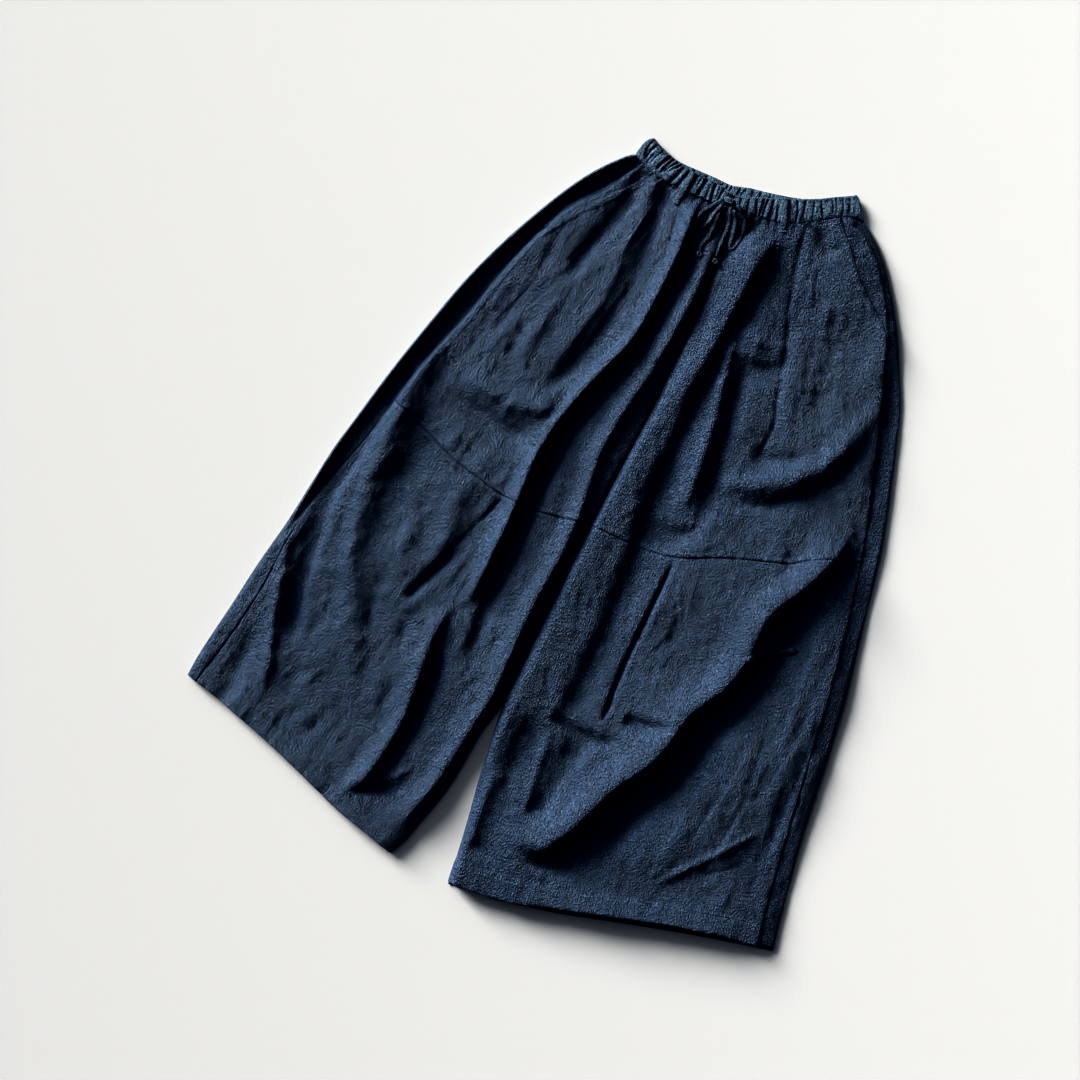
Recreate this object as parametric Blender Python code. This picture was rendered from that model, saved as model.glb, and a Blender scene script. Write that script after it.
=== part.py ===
"""Hakama trousers of navy linen, laid flat on a surface with the front up.

The waist points to +Y, the wearer's right leg lies at -X, and z = 0 is the surface.
Tables are in millimetres, in the plan of the laid garment. The meshes are in metres.
"""

import bpy
import bmesh
import numpy as np

MM = 0.001

# Driving sizes, in millimetres
CLOTH = 1.2                # one layer of crinkled linen
HEM_CLOTH = 2.0            # the hem, turned up and sewn double
HEM_DEPTH = 27.0
BAND_CLOTH = 2.4           # casing, elastic and facing, pressed together
SEAM_GAP = 0.45            # between the edges of two pieces that are sewn together
LEAST_RISE = 3.4           # where a hollow lets the front lie on the back
LEAST_HEM_RISE = 5.0       # the same at the doubled hem
INNER_EDGE_RISE = 2.4      # where the front turns under along the inside leg and the front seam
SIDE_EDGE_RISE = 3.2       # the widest point of the turned side
BAND_END_RISE = 5.6        # top of the band's front where it meets the back at its ends
BAND_ARCH = 6.4            # how much further the band's front stands off in its middle
BAND_CROWN = 0.9
POCKET_RECESS = 0.9        # the bearer lies this far below the pocket's edge
BACK_HEM_REACH = 4.0       # the left leg's back hem shows this far past its front hem
PLAN_CENTRE = (22.99, -479.28)

# Numbers of rows and columns in the pieces' meshes
POCKET_ROWS = 6
UPPER_ROWS = 15
LOWER_ROWS = 15
FRONT_COLUMNS = 28
BEARER_COLUMNS = 3
BAND_COLUMNS = 80
BAND_ROWS = (0.0, 0.18, 0.5, 0.82, 1.0)
BACK_BAND_ROWS = (0.0, 0.5, 1.0)

LINEN = {"colour": (0.045, 0.075, 0.125), "roughness": 0.85}
BAND_LINEN = {"colour": (0.055, 0.088, 0.140), "roughness": 0.85}
TIE_LINEN = {"colour": (0.050, 0.075, 0.115), "roughness": 0.80}

# Lines of the laid garment: columns are x, y, from the waist to the hem
FRONT_SEAM = (
    (-17, -54), (-8, -80), (0, -110), (5, -150), (7, -200), (7, -260), (6, -330), (3, -390),
    (0, -450), (-3, -496), (-5, -550), (-6, -600), (-6, -650), (-7, -700), (-8, -745),
)
CROTCH_Y = -455
KNEE_Y = -496

RIGHT = {
    "name": "right",
    "outward": -1,
    "side_fold": (
        (-152, -42), (-166, -54), (-190, -83), (-212, -118), (-238, -170), (-262, -225),
        (-283, -285), (-299, -345), (-314, -405), (-325, -455), (-335, -505), (-343, -545),
        (-350, -600), (-357, -655), (-368, -718), (-378, -790), (-387, -850), (-390, -887),
    ),
    "side_seam": (
        (-140, -50), (-156, -75), (-172, -98), (-187, -116), (-202, -136), (-214, -160),
        (-223, -185), (-231, -210), (-240, -240), (-248, -270), (-255, -300), (-264, -335),
        (-274, -370), (-285, -410), (-297, -458), (-312, -520), (-328, -575), (-339, -620),
        (-345, -660), (-348, -700), (-350, -745), (-356, -790), (-364, -835), (-376, -890),
    ),
    "pocket_mouth": (
        (-125, -54), (-141, -80), (-152, -94), (-163, -107), (-175, -121), (-187, -133),
        (-197, -148), (-207, -163), (-221.5, -184),
    ),
    "pocket_end_y": -184,
    "inside_leg": (
        (-8, -745), (-14, -770), (-20, -800), (-23, -840), (-28, -880), (-38, -920),
        (-50, -962), (-60, -984),
    ),
    "knee_seam": (
        (-297, -458), (-265, -467), (-230, -482), (-195, -495), (-160, -502), (-125, -509),
        (-70, -508), (-20, -499), (-3, -496),
    ),
    "hem": (
        (-390, -887), (-350, -896), (-300, -910), (-250, -925), (-200, -942), (-150, -960),
        (-100, -973), (-60, -984),
    ),
    "hem_reach": 0.0,
    "inner_round": 22.0,
}

LEFT = {
    "name": "left",
    "outward": 1,
    "side_fold": (
        (149, 2), (175, -17), (200, -42), (225, -75), (245, -105), (267, -145), (290, -190),
        (306, -235), (322, -285), (336, -330), (349, -380), (360, -435), (371, -490),
        (384, -555), (392, -605), (400, -665), (409, -740), (420, -805), (429, -855),
        (436, -888),
    ),
    "side_seam": (
        (131, 0), (150, -11), (168, -22), (190, -42), (210, -68), (225, -92), (236, -115),
        (246, -140), (258, -172), (270, -205), (282, -240), (294, -275), (305, -310),
        (318, -350), (328, -385), (337, -425), (349, -480), (360, -540), (368, -590),
        (376, -650), (384, -700), (392, -750), (401, -810), (409, -855), (415, -893),
    ),
    "pocket_mouth": (
        (120, -6), (134, -22), (150, -38), (161, -52), (175, -66), (190, -79), (205, -91),
        (219, -102), (234.5, -116),
    ),
    "pocket_end_y": -115,
    "inside_leg": (
        (-8, -745), (-5, -775), (-1, -805), (5, -850), (10, -880), (15, -910), (20, -945),
        (25, -985),
    ),
    "knee_seam": (
        (330, -394), (305, -402), (275, -415), (250, -432), (225, -442), (195, -452),
        (160, -466), (125, -483), (90, -493), (45, -496), (-3, -496),
    ),
    "hem": (
        (436, -888), (400, -896), (350, -909), (300, -921), (250, -936), (200, -951),
        (150, -965), (100, -976), (60, -982), (25, -985),
    ),
    "hem_reach": BACK_HEM_REACH,
    "inner_round": 9.0,
}

WAIST_SEAM = (
    (-152, -42), (-140, -50), (-125, -54), (-105, -57), (-80, -58), (-60, -58), (-40, -57),
    (-17, -54), (0, -51), (20, -49), (40, -47), (57, -43), (75, -35), (95, -22), (110, -12),
    (120, -6), (131, 0), (141, 3), (149, 2),
)
FRONT_BAND_TOP = (
    (-139, -15), (-125, -21), (-110, -26), (-95, -30), (-78, -33), (-60, -33), (-40, -34),
    (-25, -36), (-10, -37), (0, -34), (10, -29), (30, -21), (42, -15), (60, -8), (75, -1),
    (85, 4), (100, 13), (118, 23), (126, 29),
)
BACK_BAND_TOP = (
    (-139, -13), (-125, -20), (-110, -25), (-90, -27), (-50, -26), (-25, -26), (-10, -22),
    (0, -19), (25, -14), (50, -8), (75, 0), (85, 5), (100, 15), (118, 25), (126, 30.5),
)
BAND_RIGHT_END = ((-139, -14), (-146, -20), (-150, -31), (-152, -42))
BAND_LEFT_END = ((126, 30), (134, 21), (142, 9), (149, 2))

# How high the cloth stands between its folds: columns are y, right leg, left leg
PUFF = (
    (0, 11.0, 11.0), (-60, 11.0, 11.0), (-110, 11.0, 11.0), (-300, 12.0, 12.0),
    (-460, 12.5, 12.5), (-620, 12.0, 12.5), (-780, 12.0, 13.0), (-900, 12.0, 14.0),
    (-990, 12.5, 15.0),
)

# Gathers at the waist: columns are place along the seam, depth, half width, reach down the leg
GATHERS = (
    (-146, 1.2, 3.0, 20), (-134, 1.4, 3.0, 22), (-120, 3.0, 3.6, 45), (-111, 2.0, 2.6, 22),
    (-104, 2.4, 2.8, 26), (-96, 3.2, 4.2, 55), (-86, 2.4, 2.8, 24), (-71, 2.6, 3.0, 30),
    (-58, 2.4, 2.8, 22), (-47, 1.6, 2.6, 26), (-38, 2.4, 2.8, 20), (-29, 2.2, 2.6, 24),
    (-17, 2.8, 4.0, 60), (-4, 2.0, 2.8, 26), (7, 2.2, 2.6, 20), (18, 2.6, 3.6, 26),
    (29, 2.4, 2.8, 18), (39, 2.0, 2.6, 18), (50, 1.6, 2.6, 16), (60, 2.0, 3.0, 24),
    (72, 3.0, 4.0, 26), (88, 1.6, 3.0, 30), (106, 2.8, 4.2, 18), (121, 1.4, 3.0, 16),
    (137, 1.0, 3.0, 14),
)
# How the gathers fan out: columns are x, sideways run for each step down
FAN = ((-150, -0.70), (-110, -0.45), (-60, -0.18), (-15, -0.02), (40, 0.30), (90, 0.45), (150, 0.8))

# Folds that run down a leg. Columns are leg, height, half width towards -X, half width
# towards +X, length of the fade at the top, length of the fade at the foot, points (x, y)
DOWN_FOLDS = (
    ("right", -8.5, 14, 5, 12, 60, ((-143, -46), (-170, -95), (-200, -134), (-225, -188),
                                    (-247, -253), (-263, -310), (-279, -356), (-291, -410),
                                    (-301, -460), (-305, -530), (-312, -600))),
    ("right", -7.0, 9, 16, 50, 50, ((-312, -570), (-318, -620), (-311, -700), (-300, -760),
                                    (-290, -810))),
    ("right", 6.5, 12, 14, 30, 80, ((-286, -350), (-290, -420), (-288, -500), (-284, -570),
                                    (-274, -640), (-256, -695), (-236, -740), (-212, -785),
                                    (-192, -830), (-176, -880))),
    ("right", -7.5, 10, 10, 10, 70, ((-126, -56), (-139, -90), (-147, -125), (-156, -165),
                                     (-166, -205), (-176, -245))),
    ("right", 7.0, 12, 10, 10, 60, ((-115, -58), (-114, -95), (-118, -130), (-119, -170),
                                    (-118, -210), (-125, -250), (-137, -300), (-149, -350),
                                    (-162, -395))),
    ("right", -6.5, 10, 12, 15, 40, ((-97, -60), (-94, -105), (-90, -160), (-93, -205),
                                     (-103, -255), (-117, -310), (-132, -362))),
    ("right", 14.0, 18, 7, 25, 90, ((-55, -60), (-52, -105), (-51, -160), (-52, -215),
                                    (-58, -260), (-70, -295), (-84, -335), (-97, -380),
                                    (-105, -425), (-107, -480), (-104, -540), (-103, -600))),
    ("right", -8.5, 9, 13, 35, 60, ((-28, -110), (-36, -165), (-41, -220), (-47, -275),
                                    (-60, -325), (-74, -380), (-83, -440), (-82, -510),
                                    (-80, -575), (-84, -635), (-82, -690), (-74, -740))),
    ("right", 12.5, 17, 8, 30, 70, ((-12, -85), (-7, -135), (-6, -185), (-12, -245),
                                   (-20, -300), (-29, -355), (-34, -410), (-32, -470),
                                   (-30, -540), (-30, -620), (-31, -690), (-31, -750),
                                   (-38, -810), (-47, -870), (-62, -925), (-80, -970))),
    ("right", 10.5, 16, 9, 50, 60, ((-112, -520), (-113, -570), (-117, -620), (-124, -670),
                                   (-127, -725), (-120, -775), (-117, -820), (-122, -865),
                                   (-132, -915), (-142, -955))),
    ("right", -8.5, 8, 15, 50, 25, ((-104, -690), (-106, -740), (-103, -795), (-105, -845),
                                    (-110, -890), (-104, -925))),
    ("right", 5.5, 18, 12, 40, 60, ((-200, -480), (-190, -540), (-180, -600), (-186, -660))),
    ("right", -5.5, 14, 14, 40, 60, ((-255, -475), (-262, -550), (-256, -630))),
    ("right", -7.5, 6, 5, 8, 25, ((-124, -512), (-130, -535), (-141, -565), (-150, -595),
                                  (-159, -625), (-171, -650), (-186, -674))),
    ("right", -5.5, 10, 10, 25, 35, ((-238, -335), (-246, -375), (-262, -410))),
    ("right", 5.5, 10, 8, 30, 40, ((-332, -690), (-330, -735), (-320, -775), (-306, -815))),
    ("right", -6.5, 9, 10, 40, 10, ((-330, -775), (-337, -825), (-343, -865), (-346, -900))),
    ("right", -4.5, 6, 12, 25, 30, ((-276, -800), (-272, -845), (-277, -885))),
    ("right", -5.5, 12, 12, 25, 25, ((-214, -695), (-216, -722), (-206, -750))),
    ("right", -5.5, 6, 7, 14, 14, ((-167, -712), (-162, -735), (-168, -760))),
    ("right", -4.0, 9, 14, 20, 30, ((-188, -765), (-184, -795), (-176, -830))),
    ("right", -4.0, 5, 8, 20, 20, ((-212, -850), (-216, -885), (-222, -915))),
    ("left", 13.5, 20, 8, 15, 80, ((46, -56), (45, -100), (41, -155), (37, -210), (38, -260),
                                  (40, -310), (38, -360), (33, -410), (27, -460), (24, -520),
                                  (27, -580), (33, -640))),
    ("left", -8.5, 8, 14, 15, 60, ((62, -56), (60, -95), (54, -145), (50, -200), (54, -245),
                                   (60, -290), (59, -340), (55, -390), (49, -450), (48, -510),
                                   (56, -575), (63, -640), (64, -700), (62, -750))),
    ("left", -6.5, 12, 12, 30, 50, ((26, -730), (28, -790), (35, -840), (42, -890))),
    ("left", 8.5, 13, 6, 40, 30, ((58, -735), (65, -775), (71, -815), (78, -855), (86, -890))),
    ("left", -9.0, 7, 14, 35, 12, ((84, -715), (86, -770), (86, -820), (90, -862))),
    ("left", 7.0, 16, 8, 10, 50, ((104, -500), (101, -560), (98, -620), (97, -680), (100, -725))),
    ("left", -9.0, 5, 6, 6, 30, ((118, -489), (118, -515), (114, -550), (111, -590),
                                 (110, -630), (108, -670), (113, -705), (116, -728))),
    ("left", -4.0, 4, 5, 6, 40, ((84, -30), (91, -72), (101, -108), (113, -150), (127, -188),
                                 (141, -238), (153, -275), (155, -305), (149, -348))),
    ("left", 7.5, 12, 8, 25, 40, ((60, -215), (68, -262), (76, -312), (84, -360), (88, -415))),
    ("left", -6.5, 8, 12, 20, 50, ((86, -215), (96, -268), (103, -318), (110, -370),
                                   (117, -430))),
    ("left", 12.0, 24, 9, 50, 40, ((258, -165), (260, -205), (257, -243), (248, -280),
                                  (235, -313), (214, -339), (187, -359), (160, -377),
                                  (136, -390))),
    ("left", -8.5, 9, 12, 25, 30, ((276, -225), (270, -270), (259, -305), (240, -340),
                                   (217, -366), (190, -388), (162, -404))),
    ("left", -8.5, 11, 8, 30, 20, ((333, -345), (328, -380), (318, -412), (306, -438),
                                   (290, -462))),
    ("left", 19.5, 30, 9, 60, 25, ((287, -335), (286, -385), (279, -428), (266, -465),
                                   (251, -500), (245, -535), (247, -572), (241, -607),
                                   (227, -641), (210, -675), (200, -708), (184, -745),
                                   (165, -780), (150, -815), (138, -848), (121, -880),
                                   (106, -915))),
    ("left", -12.0, 13, 20, 30, 20, ((290, -455), (279, -500), (280, -545), (273, -585),
                                    (260, -625), (241, -665), (230, -705), (213, -745),
                                    (194, -782), (177, -822), (159, -860), (139, -893),
                                    (114, -930))),
    ("left", 4.5, 20, 20, 60, 80, ((335, -480), (343, -560), (344, -640), (347, -720),
                                   (352, -790))),
    ("left", -4.0, 5, 5, 30, 20, ((366, -690), (370, -750), (372, -805))),
    ("left", -4.0, 14, 14, 30, 30, ((163, -120), (182, -155), (194, -205))),
)

# Folds that run across a leg. Columns are leg, height, half width up the leg, half width
# down the leg, length of the fade at each end, points (x, y) from -X to +X
ACROSS_FOLDS = (
    ("right", 5.5, 13, 15, 30, 20, ((-240, -382), (-205, -391), (-165, -396), (-130, -392),
                                    (-105, -382))),
    ("right", -4.5, 10, 12, 30, 25, ((-225, -418), (-190, -428), (-150, -430), (-118, -422))),
    ("right", 5.5, 9, 7, 12, 12, ((-120, -900), (-98, -893), (-76, -875))),
    ("right", -7.5, 9, 8, 18, 16, ((-146, -936), (-115, -922), (-72, -900))),
    ("left", -6.5, 8, 10, 16, 16, ((94, -30), (112, -42), (127, -50), (144, -36))),
    ("left", 4.0, 12, 10, 20, 20, ((56, -200), (85, -203), (118, -205), (140, -203))),
    ("left", -5.5, 9, 11, 18, 18, ((70, -222), (98, -231), (130, -232))),
    ("left", -5.5, 10, 10, 18, 18, ((150, -306), (178, -316), (208, -305))),
    ("left", 7.0, 5, 6, 10, 10, ((246, -566), (262, -553), (280, -543), (303, -527))),
    ("left", -5.5, 7, 8, 15, 12, ((76, -742), (108, -744), (142, -734))),
    ("left", -7.0, 8, 10, 15, 15, ((140, -704), (170, -701), (203, -694))),
    ("left", 4.5, 7, 8, 20, 20, ((262, -876), (290, -843), (322, -805), (360, -757))),
    ("left", -4.0, 8, 8, 20, 20, ((300, -848), (335, -824), (370, -798))),
)

# Turned edges of the backs. Columns are outer skin: distance in, rise. Inner skin: the same
INNER_TURN = ((0.0, 1.9, 1.2, 1.9), (0.6, 0.6, 1.5, 1.5), (2.4, 0.0, 2.6, 1.2))
SIDE_TURN = ((3.6, 0.0, 3.8, 1.2), (1.0, 1.0, 1.9, 1.9), (0.0, 3.2, 1.2, 3.2))
SIDE_STRIP_SHARES = (0.10, 0.32, 0.64, 1.0)
BACK_COLUMN_SHARES = (0.12, 0.27, 0.45, 0.65, 0.84)
BACK_WAIST_DROP = 2.2      # the back's top edge lies this far below the waist seam

# Belt loops: a narrow strip over the band, sewn above and below it
BELT_LOOP_WIDTH = 8.0
BELT_LOOP_CLOTH = 1.5
BELT_LOOPS = (
    ("belt_loop_right", (-75.5, -32.5), (-79.0, -79.0)),
    ("belt_loop_left", (45.0, -14.5), (61.0, -54.0)),
)

# The tie that comes out of the band at the front, in a bow. Columns are x, y
TIE_WIDTH = 4.8
KNOT_CENTRE = (-17, -47)
KNOT_SIZE = (17, 11, 8)
TIE_RUNS = {
    "tie_loop_right": ((-26.6, -49), (-32, -57), (-39, -67), (-45, -78), (-44, -89),
                       (-36.5, -92), (-31.5, -82), (-29.5, -70), (-24.5, -55)),
    "tie_loop_left": ((-7.4, -48), (2, -53), (11, -63), (14.5, -80), (12.5, -99), (6, -100),
                      (4, -84), (0, -68), (-8.5, -55)),
    "tie_end_right": ((-19.5, -53.5), (-22, -63), (-23.5, -80), (-22.5, -97), (-26, -112),
                      (-24, -124)),
    "tie_end_left": ((-14.5, -53.5), (-9, -63), (-5.5, -78), (-5.5, -93), (-4.5, -108),
                     (-2, -124)),
}
LOOP_START_RISE = 5.4
END_START_RISE = 2.6
TIE_POINT_STEP = 5.0


def smooth_line(points, per_span=16):
    """Closely spaced points of a smooth line through a table's points."""
    p = np.array(points, float)
    p = np.vstack([2 * p[0] - p[1], p, 2 * p[-1] - p[-2]])
    t = np.linspace(0, 1, per_span, endpoint=False)[:, None]
    spans = []
    for a, b, c, d in zip(p, p[1:], p[2:], p[3:]):
        bend = (2 * a - 5 * b + 4 * c - d) * t ** 2 + (3 * b - a - 3 * c + d) * t ** 3
        spans.append(0.5 * (2 * b + (c - a) * t + bend))
    return np.vstack(spans + [p[-2:-1]])


def stations(line, shares):
    """Points at the given shares of a line's length."""
    steps = np.linalg.norm(np.diff(line, axis=0), axis=1)
    run = np.concatenate([[0], np.cumsum(steps)])
    columns = [np.interp(shares, run / run[-1], line[:, k]) for k in range(line.shape[1])]
    return np.column_stack(columns)


def clip_line(line, top=None, foot=None):
    """The stretch of a line that lies between two heights on the plan."""
    y = line[:, 1]
    top = y[0] if top is None else top
    foot = y[-1] if foot is None else foot
    ends = [[np.interp(-at, -y, line[:, 0]), at] for at in (top, foot)]
    middle = line[(y < top - 0.01) & (y > foot + 0.01)]
    return np.vstack([ends[:1], middle, ends[1:]])


def ease(share):
    """A smooth step from 0 to 1."""
    s = np.clip(share, 0, 1)
    return s * s * (3 - 2 * s)


def beside(line, x, y):
    """Distance of plan points to the +X side of a line that runs down the plan."""
    down = -line[:, 1]
    lean = np.gradient(line[:, 0], down)
    at = np.interp(-y, down, line[:, 0])
    return (x - at) / np.sqrt(1 + np.interp(-y, down, lean) ** 2)


def fold(run, off, height, before, after, fade_in, fade_out, start, end):
    """The rise of one fold: a soft ridge, or a trough where its height is negative."""
    width = np.where(off < 0, before, after)
    fade = ease((run - start) / fade_in) * ease((end - run) / fade_out)
    return height * fade * np.exp(-(off / width) ** 2)


def prepare(side):
    """Smooth lines of one leg, worked out from its tables."""
    lines = {key: smooth_line(side[key]) for key in
             ("side_fold", "side_seam", "pocket_mouth", "inside_leg", "knee_seam", "hem")}
    centre = smooth_line(FRONT_SEAM)
    lines["inner"] = np.vstack([centre, lines["inside_leg"][1:]])
    side["lines"] = lines
    name = side["name"]
    side["down"] = [row[1:6] + (smooth_line(row[6]),) for row in DOWN_FOLDS if row[0] == name]
    side["across"] = [row[1:6] + (smooth_line(row[6]),) for row in ACROSS_FOLDS if row[0] == name]
    side["puff_column"] = 1 if name == "right" else 2


WAIST_LINE = smooth_line(WAIST_SEAM)
for leg in (RIGHT, LEFT):
    prepare(leg)


def gather_waves(x, y):
    """How far the waist gathers sink the cloth at plan points."""
    below = np.interp(x, WAIST_LINE[:, 0], WAIST_LINE[:, 1]) - y
    fan = np.array(FAN)
    place = x - below * np.interp(x, fan[:, 0], fan[:, 1])
    total = np.zeros_like(x)
    for at, depth, half, reach in GATHERS:
        spread = half * (1 + np.clip(below, 0, None) / 60)
        fade = ease(1 - below / reach)
        total += depth * fade * np.exp(-((place - at) / spread) ** 2)
    return total


def rise(x, y, side):
    """Height of the cloth's outer skin over the surface, in millimetres."""
    puff = np.array(PUFF)
    body = np.interp(-y, -puff[:, 0], puff[:, side["puff_column"]])
    for height, before, after, fade_in, fade_out, line in side["down"]:
        body = body + fold(-y, beside(line, x, y), height, before, after, fade_in, fade_out,
                           -line[0, 1], -line[-1, 1])
    for height, above, under, fade_in, fade_out, line in side["across"]:
        off = np.interp(x, line[:, 0], line[:, 1]) - y
        body = body + fold(x, off, height, above, under, fade_in, fade_out,
                           line[0, 0], line[-1, 0])
    body = body - gather_waves(x, y)
    hem_y = np.interp(x, *hem_order(side))
    least = LEAST_RISE + (LEAST_HEM_RISE - LEAST_RISE) * ease(1 - (y - hem_y - HEM_DEPTH) / 20)
    soft = 1.6
    body = least + soft * np.logaddexp(0, (body - least) / soft)
    inner = -side["outward"] * beside(side["lines"]["inner"], x, y)
    outer = side["outward"] * beside(side["lines"]["side_fold"], x, y)
    body = turn_down(body, -inner, INNER_EDGE_RISE, side["inner_round"])
    return turn_down(body, -outer, SIDE_EDGE_RISE, 9.0)


def hem_order(side):
    """The hem's x and y, with x rising."""
    line = side["lines"]["hem"]
    line = line[np.argsort(line[:, 0])]
    return line[:, 0], line[:, 1]


def turn_down(body, inside, edge_rise, width):
    """Round the cloth down to its folded edge, as a quarter of an ellipse."""
    share = np.clip((inside + 0.25) / width, 0, 1)
    return edge_rise + (body - edge_rise) * np.sqrt(1 - (1 - share) ** 2)


def skin_and_lining(plan, surface, thickness):
    """Outer points on a surface over the plan, and inner points square to it."""
    x, y = plan[..., 0], plan[..., 1]
    step = 0.5
    slope_x = (surface(x + step, y) - surface(x - step, y)) / (2 * step)
    slope_y = (surface(x, y + step) - surface(x, y - step)) / (2 * step)
    skin = np.stack([x, y, surface(x, y)], axis=-1)
    normal = np.stack([-slope_x, -slope_y, np.ones_like(x)], axis=-1)
    normal /= np.linalg.norm(normal, axis=-1, keepdims=True)
    return skin, skin - normal * np.asarray(thickness)[..., None]


def patch(outer, inner, top, foot, shares=None):
    """Plan points between four edges that share their corners."""
    rows, columns = len(outer), len(top)
    shares = np.linspace(0, 1, columns) if shares is None else np.array(shares)
    v = np.linspace(0, 1, rows)
    lengths = np.linalg.norm(np.diff(outer, axis=0), axis=1) + \
        np.linalg.norm(np.diff(inner, axis=0), axis=1)
    v[1:] = np.cumsum(lengths) / lengths.sum()
    v = v[:, None, None]
    u = shares[None, :, None]
    ruled = (1 - u) * outer[:, None] + u * inner[:, None]
    lofted = (1 - v) * top[None] + v * foot[None]
    corners = (1 - u) * (1 - v) * top[0] + u * (1 - v) * top[-1] + \
        (1 - u) * v * foot[0] + u * v * foot[-1]
    return part_edges(ruled + lofted - corners)


def part_edges(plan):
    """Draw a piece's edges in by half of the seam's gap."""
    plan = plan.copy()
    for edge, next_in in ((plan[0], plan[1]), (plan[-1], plan[-2]),
                          (plan[:, 0], plan[:, 1]), (plan[:, -1], plan[:, -2])):
        way = next_in - edge
        edge += way / np.linalg.norm(way, axis=-1, keepdims=True) * SEAM_GAP / 2
    return plan


def make_material(name, finish):
    """A plain cloth material with its own colour and roughness."""
    material = bpy.data.materials.new(name)
    material.use_nodes = True
    shader = material.node_tree.nodes["Principled BSDF"]
    shader.inputs["Base Color"].default_value = (*finish["colour"], 1.0)
    shader.inputs["Roughness"].default_value = finish["roughness"]
    shader.inputs["Metallic"].default_value = 0.0
    return material


def finish_object(name, mesh, finish, collection):
    """Shade, colour and link one finished piece."""
    mesh.shade_smooth()
    mesh.set_sharp_from_angle(angle=np.radians(50))
    mesh.materials.append(make_material(name + "_cloth", finish))
    piece = bpy.data.objects.new(name, mesh)
    collection.objects.link(piece)
    return piece


def to_metres(points):
    """Plan points and heights in millimetres as places in the part's frame."""
    centre = np.array([PLAN_CENTRE[0], PLAN_CENTRE[1], 0.0])
    return (np.asarray(points) - centre) * MM


def wall(name, skin, lining, finish, collection):
    """A closed wall of cloth between two grids of points."""
    rows, columns = skin.shape[:2]
    bm = bmesh.new()
    sheets = []
    for grid in (skin, lining):
        places = to_metres(grid)
        sheets.append([[bm.verts.new(place) for place in row] for row in places])
    outer, inner = sheets
    for i in range(rows - 1):
        for j in range(columns - 1):
            for sheet in sheets:
                a, b = sheet[i][j], sheet[i + 1][j]
                c, d = sheet[i + 1][j + 1], sheet[i][j + 1]
                bm.faces.new((a, b, c))
                bm.faces.new((a, c, d))
    for j in range(columns - 1):
        for i in (0, rows - 1):
            bm.faces.new((outer[i][j], outer[i][j + 1], inner[i][j + 1], inner[i][j]))
    for i in range(rows - 1):
        for j in (0, columns - 1):
            bm.faces.new((outer[i][j], outer[i + 1][j], inner[i + 1][j], inner[i][j]))
    bmesh.ops.recalc_face_normals(bm, faces=bm.faces)
    mesh = bpy.data.meshes.new(name)
    bm.to_mesh(mesh)
    bm.free()
    return finish_object(name, mesh, finish, collection)


def leg_rows(side):
    """Stations down the leg that the front, the pocket and the back share."""
    lines = side["lines"]
    pocket = np.linspace(0, 1, POCKET_ROWS + 1)
    thigh = np.linspace(0, 1, UPPER_ROWS - POCKET_ROWS + 1)
    shin = np.linspace(0, 1, LOWER_ROWS + 1)
    end_y = side["pocket_end_y"]
    knee_y = side["knee_seam"][0][1]
    seam_top = stations(clip_line(lines["side_seam"], foot=end_y), pocket)
    seam_thigh = stations(clip_line(lines["side_seam"], top=end_y, foot=knee_y), thigh)
    seam_shin = stations(clip_line(lines["side_seam"], top=knee_y), shin)
    waist_to_knee = np.linspace(0, 1, UPPER_ROWS + 1)
    return {
        "mouth": stations(lines["pocket_mouth"], pocket),
        "seam_pocket": seam_top,
        "seam_upper": np.vstack([seam_top, seam_thigh[1:]]),
        "seam_lower": seam_shin,
        "inner_upper": stations(clip_line(lines["inner"], foot=KNEE_Y), waist_to_knee),
        "inner_lower": stations(clip_line(lines["inner"], top=KNEE_Y), shin),
    }


def waist_stretch(start_x, end_x, shares):
    """Stations along the waist seam between two places."""
    x = start_x + (end_x - start_x) * np.asarray(shares, float)
    return np.column_stack([x, np.interp(x, WAIST_LINE[:, 0], WAIST_LINE[:, 1])])


def hem_stretch(side, start, end, shares):
    """Stations along the hem between two places."""
    x = start[0] + (end[0] - start[0]) * np.asarray(shares, float)
    return np.column_stack([x, np.interp(x, *hem_order(side))])


def front_thickness(side, plan):
    """One layer of cloth, and two where the hem is turned up."""
    hem_y = np.interp(plan[..., 0], *hem_order(side))
    turned = ease((hem_y + HEM_DEPTH + 6 - plan[..., 1]) / 6)
    return CLOTH + (HEM_CLOTH - CLOTH) * turned


def build_front(side, rows, collection):
    """The front above the knee seam, and the front below it."""
    def surface(x, y):
        return rise(x, y, side)

    centre_x = FRONT_SEAM[0][0]
    outer = np.vstack([rows["mouth"], rows["seam_upper"][POCKET_ROWS + 1:]])
    shares = np.linspace(0, 1, FRONT_COLUMNS + 1)
    top = waist_stretch(outer[0, 0], centre_x, shares)
    knee = stations(side["lines"]["knee_seam"], shares)
    outer[0], outer[-1] = top[0], knee[0]
    inner = rows["inner_upper"].copy()
    inner[0], inner[-1] = top[-1], knee[-1]
    plan = patch(outer, inner, top, knee)
    skin, lining = skin_and_lining(plan, surface, np.full(plan.shape[:2], CLOTH))
    wall("front_upper_" + side["name"], skin, lining, LINEN, collection)

    outer = rows["seam_lower"].copy()
    inner = rows["inner_lower"].copy()
    hem = hem_stretch(side, outer[-1], inner[-1], shares)
    outer[0], outer[-1] = knee[0], hem[0]
    inner[0], inner[-1] = knee[-1], hem[-1]
    plan = patch(outer, inner, knee, hem)
    skin, lining = skin_and_lining(plan, surface, front_thickness(side, plan))
    wall("front_lower_" + side["name"], skin, lining, LINEN, collection)


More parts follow.
